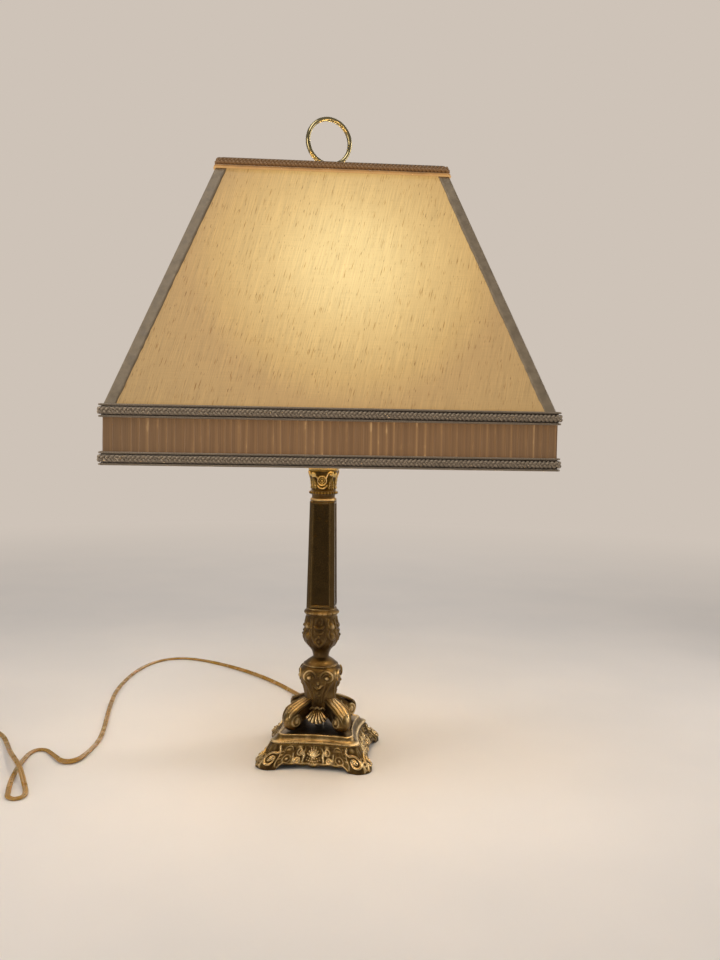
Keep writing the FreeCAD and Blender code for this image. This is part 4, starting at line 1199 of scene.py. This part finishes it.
def make_base():
    """The square base, one side laid out with its ornament and repeated four times round."""
    columns, rows = 300, 84
    share = np.linspace(-1, 1, columns + 1)[:-1][None]
    x = share * CANVAS
    line = spline(BASE_LINE, 80)
    rise = np.linspace(0, 1, rows)[:, None]
    low = apron(x)
    z = low + rise * (BASE_LINE[-1][3] - low)
    half, bow, corner = (np.interp(z, line[:, 3], line[:, k]) for k in range(3))
    front = base_point(share, half, bow, corner, z)
    height = frieze_ornament(np.broadcast_to(x, z.shape), 1.1 * z)
    moulding = np.stack([base_point(share[0], *station) for station in spline(MOULDING, MOULDING_ROWS)])
    under = []
    for inset, up in UNDER_RIM:
        tight = np.maximum(corner[0] - inset, 2.0)
        under.append(base_point(share[0], half[0] - inset, bow[0], tight, low[0] + up))
    points = np.concatenate([np.stack(under), front, moulding])
    plain_under, plain_over = np.zeros((len(under), columns)), np.zeros((MOULDING_ROWS, columns))
    height = np.concatenate([plain_under, height, plain_over])
    points = np.concatenate([quarter_turned(points, side) for side in range(4)], 1)
    height = np.tile(height, (1, 4))
    points = points + normals(points) * height[..., None]
    points[..., 2] = np.maximum(points[..., 2], 0.0)
    brass_tone = 0.08 + 0.53 * (height / 1.5) ** 1.2
    # The moulding's rows take the table above: wear, painted shading in the hollow and painted shade under
    # the legs.
    brass_tone[len(under) + rows:] = np.interp(np.arange(MOULDING_ROWS), *zip(*MOULDING_WEAR_AND_SHADE))[:, None]
    base = grid_object("base", turned(points), ANTIQUE, wrap_columns=True, tint=brass_tone, caps=True)
    brass_piece(base, "antique_brass", "base_casting")


def turn_body(profile, columns, rows):
    """A grid for a turned body: radius and height for each row, angle for each column, from the front."""
    line = spline(profile, rows)
    angle = np.linspace(-math.pi / 4, 2 * math.pi - math.pi / 4, columns, endpoint=False)[None]
    return line[:, :1] + 0 * angle, line[:, 1:] + 0 * angle, angle


def face_angle(angle):
    """The angle from the middle of the nearest of the four faces."""
    return (angle + math.pi / 4) % (math.pi / 2) - math.pi / 4


def wrap(radius, z, angle):
    return np.stack([radius * np.sin(angle), -radius * np.cos(angle), z + 0 * angle], -1)


KNOP_CANVAS = 20.0              # the radius at which the knop's ornament is laid out
BOSS_OFF = 8.2                  # each boss, from the middle of its face


def make_knop():
    """The four-lobed knop: C-scrolls, bosses and a drop of leaves on each face."""
    profile = [(9.6, 44.6), (13.6, 44.0), (15.4, 46.0), (16.0, 51.0), (16.4, 57.0), (16.7, 63.0),
               (17.3, 68.5), (18.8, 73.5), (21.0, 78.5), (22.8, 83.0), (23.2, 86.5), (22.4, 90.0),
               (20.4, 92.8), (18.4, 94.4), (17.6, 95.0)]
    radius, z, angle = turn_body(profile, 520, 200)
    lobe = 0.065 * np.exp(-((z - 85.0) / 8.0) ** 2) + 0.05 * np.exp(-((z - 60.0) / 8.0) ** 2)
    radius = radius * (1 - lobe * np.cos(4 * angle))
    face = face_angle(angle)
    across = KNOP_CANVAS * face
    r = Relief(across, z)
    brow = [(1.8, 85.4), (3.0, 89.2), (6.6, 91.6), (10.6, 91.0), (13.0, 87.6), (12.6, 83.4), (9.8, 80.8)]
    for s in (-1, 1):
        r.ridge(s, brow, 60, 1.0, 1.9, 0.25)
        r.ridge(s, [(4.2, 86.2), (6.0, 89.0), (9.2, 89.2), (10.8, 86.8)], 30, 0.8, 1.3, 0.3)
        r.dot(s * BOSS_OFF, 85.0, 2.3, 1.9)
        r.ridge(s, [(13.6, 80.6), (12.0, 74.0), (9.6, 67.0), (8.4, 59.0)], 30, 1.5, 0.9, 0.3)
        r.ridge(s, [(7.4, 79.4), (7.2, 73.4), (5.2, 66.4), (4.4, 58.4)], 30, 1.3, 0.8, 0.3)
        r.ridge(s, [(0.6, 72.6), (2.2, 74.8), (4.8, 77.4)], 16, 1.15, 1.5, 0.3)
        r.ridge(s, [(0.3, 64.4), (2.4, 65.4), (3.0, 67.8)], 14, 0.9, 1.0, 0.2)
        r.stroke([(s * 1.6, 62.6), (s * 1.8, 57.0)], 0.9, 0.8, taper=0.3)
    r.dot(0.0, 79.6, 1.9, 2.0)
    r.dot(0.0, 87.0, 1.3, 1.3)
    r.dot(0.0, 74.6, 1.7, 1.3)
    r.dot(0.0, 68.2, 1.2, 1.1)
    height = r.softened()
    off_boss = np.abs(across) - BOSS_OFF
    sunk = np.exp(-(off_boss / 5.5) ** 2 - ((z - 85.0) / 5.0) ** 2)
    points = wrap(radius, z, angle)
    points = points + normals(points) * (height - 0.9 * sunk)[..., None]
    # The bulging diagonal lobes are made golden partly by wear and partly by a painted highlight.
    lobes = np.exp(-((z - 87.0) / 6.0) ** 2) * (0.5 - 0.5 * np.cos(4 * angle)) ** 2
    boss = np.exp(-(off_boss / 1.6) ** 2 - ((z - 85.4) / 1.6) ** 2)
    brass_tone = 0.16 + 0.34 * (height / 1.9) ** 1.3 + 0.26 * lobes - 0.14 * sunk + 0.24 * boss
    knop = grid_object("pedestal", turned(points), ANTIQUE, wrap_columns=True, tint=brass_tone, caps=True)
    brass_piece(knop, "antique_brass", "pedestal_casting")


def make_ring_mould(name, node, slot, material, profile, bright):
    """A plain turned piece. Its profile is (radius, height), and bright gives its tone at each height: wear,
    and painted highlights on its rounded parts.
    """
    radius, z, angle = turn_body(profile, 192, 90)
    heights, shares = zip(*bright)
    brass_tone = np.interp(z + 0 * angle, heights, shares)
    points = wrap(radius, z, angle)
    piece = grid_object(name, turned(points), material, wrap_columns=True, tint=brass_tone, caps=True)
    brass_piece(piece, slot, node)


def make_collar():
    """The spun dome over the knop, with a rolled rim."""
    profile = [(17.2, 95.0), (18.0, 95.2), (18.4, 95.9), (18.0, 96.7), (17.3, 96.9), (17.0, 97.1),
               (15.6, 98.4), (13.2, 100.4), (10.8, 102.0), (9.0, 103.1), (8.4, 103.6), (8.3, 104.0)]
    # The last list is wear with painted highlights: brightest on the rolled rim and across the middle of the
    # dome.
    make_ring_mould("collar", "dome_collar", "antique_brass", ANTIQUE, profile,
                    [(95.0, 0.3), (95.9, 0.5), (97.0, 0.2), (99.0, 0.36), (102.0, 0.24), (104.0, 0.1)])


def make_astragal():
    """The rounded ring and hollow neck between the column and its capital."""
    profile = [(12.6, 268.0), (13.3, 268.3), (13.7, 269.2), (13.5, 270.3), (12.8, 270.9), (12.2, 271.3),
               (11.9, 272.6), (12.1, 274.0), (12.6, 275.0)]
    # The last list is wear with a painted highlight along the rounded ring, darker in the hollow neck.
    make_ring_mould("astragal", "column_astragal", "antique_brass", ANTIQUE, profile,
                    [(268.0, 0.3), (269.2, 0.58), (270.6, 0.4), (271.4, 0.08), (274.0, 0.1), (275.0, 0.3)])


def swept_scroll(path, half_wide, thick, ridges, place, tint_low, tint_high, taper=0.75):
    """A scroll of leaf: a path in the (outward, up) plane, with ridges along its outer face."""
    line = spline(path, 130)
    line = even(line, 170)
    points = np.column_stack([line[:, 0], np.zeros(len(line)), line[:, 1]])
    h = np.linspace(-1, 1, 27)
    outer = thick * (0.62 + 0.38 * np.abs(np.cos(h * math.pi * ridges / 2))) * np.sqrt(1 - 0.55 * h ** 2)
    back = np.column_stack([-0.5 * thick * np.ones(9), np.linspace(0.9, -0.9, 9) * half_wide])
    section = np.vstack([np.column_stack([outer, h * half_wide]), back])
    reach = np.linspace(0, 1, len(line))
    size = np.interp(reach, [0, 0.25, 0.6, 1.0], [0.72, 0.92, 1.0, taper])
    rings = sweep(points, section, size, up=(0, 1, 0))
    low = np.interp(np.abs(section[:, 0]), [0.5 * thick, thick], [0, 1]) * (section[:, 0] > 0)
    brass_tone = tint_low + (tint_high - tint_low) * np.broadcast_to(low, rings.shape[:2])
    return place(rings), brass_tone


def diagonal(k):
    """Turn points from the +X axis to the middle of corner k of the body."""
    c, s = math.cos(math.pi / 4 + k * math.pi / 2), math.sin(math.pi / 4 + k * math.pi / 2)

    def place(points):
        x, y = points[..., 0] * c - points[..., 1] * s, points[..., 0] * s + points[..., 1] * c
        return turned(np.stack([x, y, points[..., 2]], -1))
    return place


FOOT_RIDGE = [(14.0, 61.0), (18.4, 59.6), (23.4, 57.6), (29.4, 55.2), (36.0, 52.0), (41.0, 47.8),
              (43.6, 42.6), (43.4, 38.0)]
FOOT_WEB = [(10.0, 64.0), (16.5, 61.0), (23.0, 56.4), (30.0, 53.0), (35.0, 47.0), (31.0, 39.0), (26.0, 40.0),
            (18.0, 44.5), (10.0, 45.5)]
# Each layer of the web: its distance from the middle plane and its size.
WEB_LAYERS = [(-5.6, 0.75), (-6.2, 0.93), (-5.2, 1.0), (5.2, 1.0), (6.2, 0.93), (5.6, 0.75)]
BALL_AT = (36.0, 41.2)          # outward and up
BALL_R, BALL_HALF = 10.4, 8.6


def brass_grid(name, points, brass_tone):
    """A closed piece of worn cast brass that stands in for no node of its own."""
    piece = grid_object(name, points, ANTIQUE, wrap_columns=True, tint=brass_tone, caps=True)
    brass_piece(piece, "antique_brass")


def foot_ball():
    """A ball flattened on both sides, with a faint volute on each, and how worn it is."""
    t = np.linspace(-1, 1, 81)
    across = BALL_HALF * np.sin(t * math.pi / 2)
    radius = BALL_R * np.cos(t * math.pi / 2) ** 0.8 + 0.01
    a = np.linspace(0, 2 * math.pi, 120, endpoint=False)[None]
    x, z = BALL_AT[0] + radius[:, None] * np.cos(a), BALL_AT[1] + radius[:, None] * np.sin(a)
    r = Relief(x, z)
    r.scroll(36.2, 41.6, 6.6, 1.4, 1.3, 0.8, math.radians(100), -1)
    height = r.softened() * np.clip(np.abs(t) * 3 - 1, 0, 1)[:, None]
    points = np.stack([x, across[:, None] + np.sign(t)[:, None] * height, z], -1)
    brass_tone = 0.26 + 0.24 * height / 0.8 + 0.14 * np.exp(-(across[:, None] / 4.0) ** 2)
    return points, brass_tone


def foot_web():
    """The web from the knop down to a foot, rounded towards its two faces."""
    outline = np.array(FOOT_WEB)
    outline = spline(np.vstack([outline, outline[:1]]), 60)[:-1]
    middle = outline.mean(0)
    layers = []
    for off, grow in WEB_LAYERS:
        layer = middle + (outline - middle) * grow
        layers.append(np.column_stack([layer[:, 0], np.full(len(layer), off), layer[:, 1]]))
    return np.stack(layers)[:, ::-1]


def make_feet():
    """The four legs: a ridged leaf from the knop down over a ball, with a web behind it."""
    for k in range(4):
        place = diagonal(k)
        leaf, brass_tone = swept_scroll(FOOT_RIDGE, 9.8, 2.2, 4.0, place, 0.12, 0.72, taper=0.5)
        brass_grid(f"foot_leaf_{k + 1}", leaf, brass_tone)
        ball, brass_tone = foot_ball()
        brass_grid(f"foot_ball_{k + 1}", place(ball), brass_tone)
        web = foot_web()
        brass_grid(f"foot_web_{k + 1}", place(web), np.full(web.shape[:2], 0.14))


def make_palmettes():
    """A fan of rounded flutes hanging between the feet on each side, under small arches."""
    flutes = 7
    spread = np.linspace(-1, 1, 197)[None]
    reach = np.linspace(0, 1, 60)[:, None]
    angle = spread * math.radians(56)
    lobe = np.abs(np.cos(spread * flutes * math.pi / 2))
    length = 17.0 - 1.6 * (1 - lobe ** 0.5) - 3.4 * spread ** 2
    along = 2.0 + reach * (length - 2.0)
    u = along * np.sin(angle) * 1.05
    z = 56.0 - along * np.cos(angle * 0.8)
    puff = 1.9 * np.sin(math.pi * np.clip(reach, 0, 1) ** 0.8 * 0.92) ** 0.6 * lobe ** 0.7
    out = 20.0 + 9.6 * np.sin(reach * math.pi * 0.52) - 3.0 * spread ** 2 * reach + puff
    out = out - 2.2 * np.clip((reach - 0.9) / 0.1, 0, 1) ** 2
    outer = np.stack([u, -out, z + 0 * out], -1)
    inner = outer.copy()
    inner[..., 1] = np.maximum(outer[..., 1] + 2.4, -30.0)
    ring = np.concatenate([outer, inner[:, ::-1]], 1)
    worn_outside = 0.10 + 0.62 * lobe ** 1.5 * np.clip(reach * 1.4, 0.2, 1)
    brass_tone = np.concatenate([worn_outside, np.full_like(worn_outside, 0.04)], 1)
    arches = []
    for k in range(-1, 2):
        bow = np.linspace(-1, 1, 15)
        x, y = k * 5.4 + 2.6 * bow, np.full(15, -22.6 + 0.9 * abs(k)) + 0.4 * bow ** 2
        arches.append(np.column_stack([x, y, 55.2 - 2.4 * np.abs(bow) ** 1.4 - 0.5 * abs(k)]))
    for side in range(4):
        turn = quarter_matrix(side)
        brass_grid(f"palmette_{side + 1}", turned(ring @ turn.T), brass_tone)
        for k, arch in enumerate(arches):
            rings = sweep(arch, round_section(0.85, 12))
            worn_arch = np.full(rings.shape[:2], 0.42)
            brass_grid(f"palmette_arch_{side + 1}_{k + 1}", turned(rings @ turn.T), worn_arch)


LAPPETS_FROM = 148              # height from which the urn has its ring of lappets


def make_urn():
    """The urn under the column: two tiers of leaves with curled tips, and a ring of lappets."""
    profile = [(8.3, 104.0), (8.5, 106.2), (10.2, 110.8), (14.4, 116.2), (17.6, 121.4), (18.9, 126.0),
               (19.0, 129.0), (18.0, 132.6), (17.9, 136.0), (17.6, 139.0), (16.6, 143.0), (16.0, 147.0),
               (16.0, 148.2), (17.2, 149.2), (17.6, 151.0), (17.2, 153.2), (15.8, 154.4), (15.9, 155.3),
               (15.6, 156.1), (14.6, 156.5)]
    radius, z, angle = turn_body(profile, 480, 210)
    face = face_angle(angle)
    diag = face_angle(angle + math.pi / 4)
    r = Relief(18.0 * face, z)
    q = Relief(18.0 * diag, z)
    for s in (-1, 1):
        r.ridge(s, [(7.8, 146.0), (8.0, 138.0), (7.4, 130.0), (4.6, 121.0), (0.0, 115.5)], 50, 1.2, 0.8)
        r.ridge(s, [(0.0, 136.2), (2.8, 136.8), (4.8, 138.6)], 20, 1.35, 1.7, 0.2)
        r.ridge(s, [(0.0, 131.2), (2.4, 131.6), (4.0, 133.0)], 20, 1.2, 1.4, 0.2)
        r.ridge(s, [(1.0, 126.4), (3.2, 125.0), (4.0, 122.2)], 20, 1.1, 1.1, 0.3)
        r.ridge(s, [(2.4, 146.0), (3.6, 143.0), (2.6, 140.4)], 14, 1.0, 0.8)
        q.ridge(s, [(3.6, 145.0), (5.0, 140.0), (2.4, 136.4), (0.0, 135.4)], 30, 1.3, 1.2, 0.2)
        q.ridge(s, [(3.8, 134.0), (5.0, 129.0), (2.6, 125.4), (0.0, 124.6)], 30, 1.3, 1.1, 0.2)
        q.ridge(s, [(1.2, 122.0), (2.0, 118.6), (0.6, 115.0)], 20, 1.0, 0.7, 0.3)
    r.dot(0.0, 142.0, 1.5, 0.9)
    r.dot(0.0, 127.6, 1.7, 1.5)
    r.dot(0.0, 122.4, 1.3, 1.1)
    q.dot(0.0, 137.8, 3.4, 1.9)
    q.dot(0.0, 128.0, 3.4, 1.6)
    ring = Relief(17.4 * face, z)
    for k in range(-2, 3):
        ring.stroke([(k * 5.4 - 1.5, 151.3), (k * 5.4 + 1.5, 151.3)], 1.3, 0.9)
        ring.dot(k * 5.4 + 2.7, 151.2, 0.6, 0.6)
    beads = ring.softened()
    height = np.maximum(np.maximum(r.softened(), q.softened()), beads)
    points = wrap(radius, z, angle)
    points = points + normals(points) * height[..., None]
    ringed = (z > LAPPETS_FROM) * (0.10 + 0.30 * beads / 0.9) + 0.3 * np.exp(-((z - 155.4) / 0.6) ** 2)
    brass_tone = 0.10 + 0.22 * (height * (z < LAPPETS_FROM) / 1.5) ** 1.4 + 0.8 * ringed
    urn = grid_object("urn", turned(points), ANTIQUE, wrap_columns=True, tint=brass_tone, caps=True)
    brass_piece(urn, "antique_brass", "urn_casting")


def make_capital():
    """The bright capital: beaded plate, bell with a rosette on each face, corner volutes."""
    profile = [(12.6, 275.0), (14.3, 275.3), (14.8, 276.6), (14.4, 278.0), (13.1, 279.0), (12.7, 281.0),
               (12.8, 285.0), (13.2, 290.0), (14.2, 295.4), (15.0, 298.8), (15.1, 301.0)]
    radius, z, angle = turn_body(profile, 360, 130)
    square = 1 + 0.075 * np.clip((z - 290.0) / 9.0, 0, 1) * (1 - np.cos(4 * angle)) - 0.02
    radius = radius * square
    face = face_angle(angle)
    r = Relief(14.0 * face, z)
    for k in range(-3, 4):
        r.dot(k * 3.14, 276.7, 1.3, 0.7)
    t = np.linspace(0, 2 * math.pi, 50)
    r.stroke(np.column_stack([4.6 * np.cos(t), 289.5 + 4.8 * np.sin(t)]), 0.95, 1.3)
    for k in range(8):
        a = k * math.pi / 4
        r.dot(2.6 * math.cos(a), 289.6 + 2.6 * math.sin(a), 1.05, 1.3)
    r.dot(0.0, 289.6, 1.3, 1.8)
    r.ridge(1, [(-5.4, 284.6), (-2.8, 282.2), (0.0, 281.5), (2.8, 282.2), (5.4, 284.6)], 30, 1.25, 1.7, 0.3)
    for s in (-1, 1):
        r.leaf(s * 8.0, 280.5, math.pi / 2 - s * 0.12, 11.0, 3.6, 1.4, lobes=4)
        r.scroll(s * 8.6, 296.4, 2.9, 1.2, 0.85, 1.5, math.pi, -s, tail=(s * 4.0, 292.0))
        r.stroke([(s * 10.9, 281.0), (s * 10.9, 297.0)], 0.8, 1.0, taper=0.2)
    r.stroke([(-11.0, 299.9), (11.0, 299.9)], 0.7, 0.7)
    height = r.softened()
    points = wrap(radius, z, angle)
    points = points + normals(points) * height[..., None]
    brass_tone = 0.06 + 0.62 * (height / 1.3) ** 1.1
    bell = grid_object("capital_bell", turned(points), BRIGHT_CAST, wrap_columns=True, tint=brass_tone, caps=True)
    brass_piece(bell, "bright_brass", "capital")


def make_abacus():
    """The square plate on top of the capital. Each station is a half width and a height."""
    stations = [(14.2, 300.6), (15.4, 301.0), (15.5, 302.0), (15.1, 302.8), (15.4, 303.4), (15.5, 304.6),
                (15.1, 305.0), (9.0, 305.0)]
    # Keeping 56 points closes the longer rings straight across the last part of their left side.
    rings = [square_path(half, height, 2.0, corner=1.6)[:56] for half, height in stations]
    count = min(len(ring) for ring in rings)
    rings = np.stack([even(np.vstack([r0, r0[:1]]), count + 1)[:-1] for r0 in rings])
    brass_tone = np.full(rings.shape[:2], 0.55)
    points = turned(rings)
    abacus = grid_object("capital_abacus", points, BRIGHT_CAST, wrap_columns=True, tint=brass_tone, caps=True)
    brass_piece(abacus, "bright_brass")


PANEL_LOW, PANEL_HIGH = 159.6, 265.2
COLUMN_LOW, COLUMN_HIGH = 156.5, 268.0
COLUMN_HALVES = (14.6, 12.75)
CHAMFER = 3.2
PANEL_DEEP = 0.85
BEAD_HIGH = 0.16                # height of the bead round each panel


def make_column():
    """The tapering eight-sided column, with a sunk panel in a beaded frame on each face."""
    near_low, near_high = PANEL_LOW + np.linspace(-1.8, 2.6, 23), PANEL_HIGH + np.linspace(-2.6, 1.8, 23)
    z = np.unique(np.concatenate([np.linspace(COLUMN_LOW, COLUMN_HIGH, 50), near_low, near_high]))[:, None]
    low_half, high_half = COLUMN_HALVES
    half = low_half + (z - COLUMN_LOW) / (COLUMN_HIGH - COLUMN_LOW) * (high_half - low_half)
    u = np.concatenate([-1 + np.array([0.0, 0.012, 0.03, 0.06]), np.linspace(-0.9, -0.6, 22),
                        np.linspace(-0.5, 0.5, 9), np.linspace(0.6, 0.9, 22),
                        1 - np.array([0.06, 0.03, 0.012, 0.0])])[None]
    across = u * (half - CHAMFER)
    inside = np.minimum((0.80 - np.abs(u)) * (half - CHAMFER), np.minimum(z - PANEL_LOW, PANEL_HIGH - z))
    sunk = PANEL_DEEP * np.clip(inside / 1.1 + 0.5, 0, 1) ** 1.2
    bead = BEAD_HIGH * np.exp(-((inside + 1.1) / 0.7) ** 2)
    out = half - sunk + bead
    brass_tone = 0.16 + 0.24 * bead / BEAD_HIGH - 0.10 * np.clip(inside, 0, 1)
    v = np.array([0.03, 0.12, 0.5, 0.88, 0.97])[None]
    corner_x = half - CHAMFER * (1 - v)
    corner_y = half - CHAMFER * v
    grid, tint = [], []
    for side in range(4):
        face = on_side(side, across, out, z + 0 * across)
        c, s = math.cos(side * math.pi / 2), math.sin(side * math.pi / 2)
        bend = np.stack([corner_x * c + corner_y * s, corner_x * s - corner_y * c, z + 0 * corner_x], -1)
        grid += [face, bend]
        tint += [brass_tone, np.full(bend.shape[:2], 0.26)]
    column = grid_object("column_casting", turned(np.concatenate(grid, 1)), SHADED_COLUMN_BRASS, wrap_columns=True,
                         tint=np.concatenate(tint, 1), caps=True)
    brass_piece(column, "antique_brass", "column")


make_base()
make_knop()
make_collar()
make_feet()
make_palmettes()
make_urn()
make_column()
make_astragal()
make_capital()
make_abacus()


# ---------------------------------------------------------------- CAD nodes that keep their mesh
def dress(material, *names):
    """Give CAD nodes one material, and leave their shape alone."""
    for name in names:
        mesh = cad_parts[name].data
        mesh.materials.clear()
        mesh.materials.append(material)


dress(SMOOTH_ANTIQUE, "vase_cup")
dress(IRON, "base_weight")
dress(FELT, "base_cover")
dress(LEAD, "lead_bushing", "lead_wires")
dress(STEEL, "rod_washer", "rod_nut", "threaded_rod")
dress(BRIGHT, "harp_saddle", "harp", "harp_stud", "socket_cap", "socket_shell", "spider_washer",
      "spider_arms", "harp_ferrule_left", "harp_ferrule_right", "bulb_contact", "plug_blades")
dress(ALUMINIUM, "bulb_base", "socket_screw_shell", "socket_contact")
dress(CARD, "socket_insulator")
dress(PHENOLIC, "switch_knob", "socket_body")
dress(POLISHED, "finial", "finial_insert")
dress(WIRE, "frame_ring_top", "frame_ring_middle", "frame_ring_bottom", "frame_ribs", "frame_stays")
dress(bulb_glass(), "bulb_glass")
dress(filament(), "bulb_filament")
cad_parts["bulb_glass"].visible_shadow = False
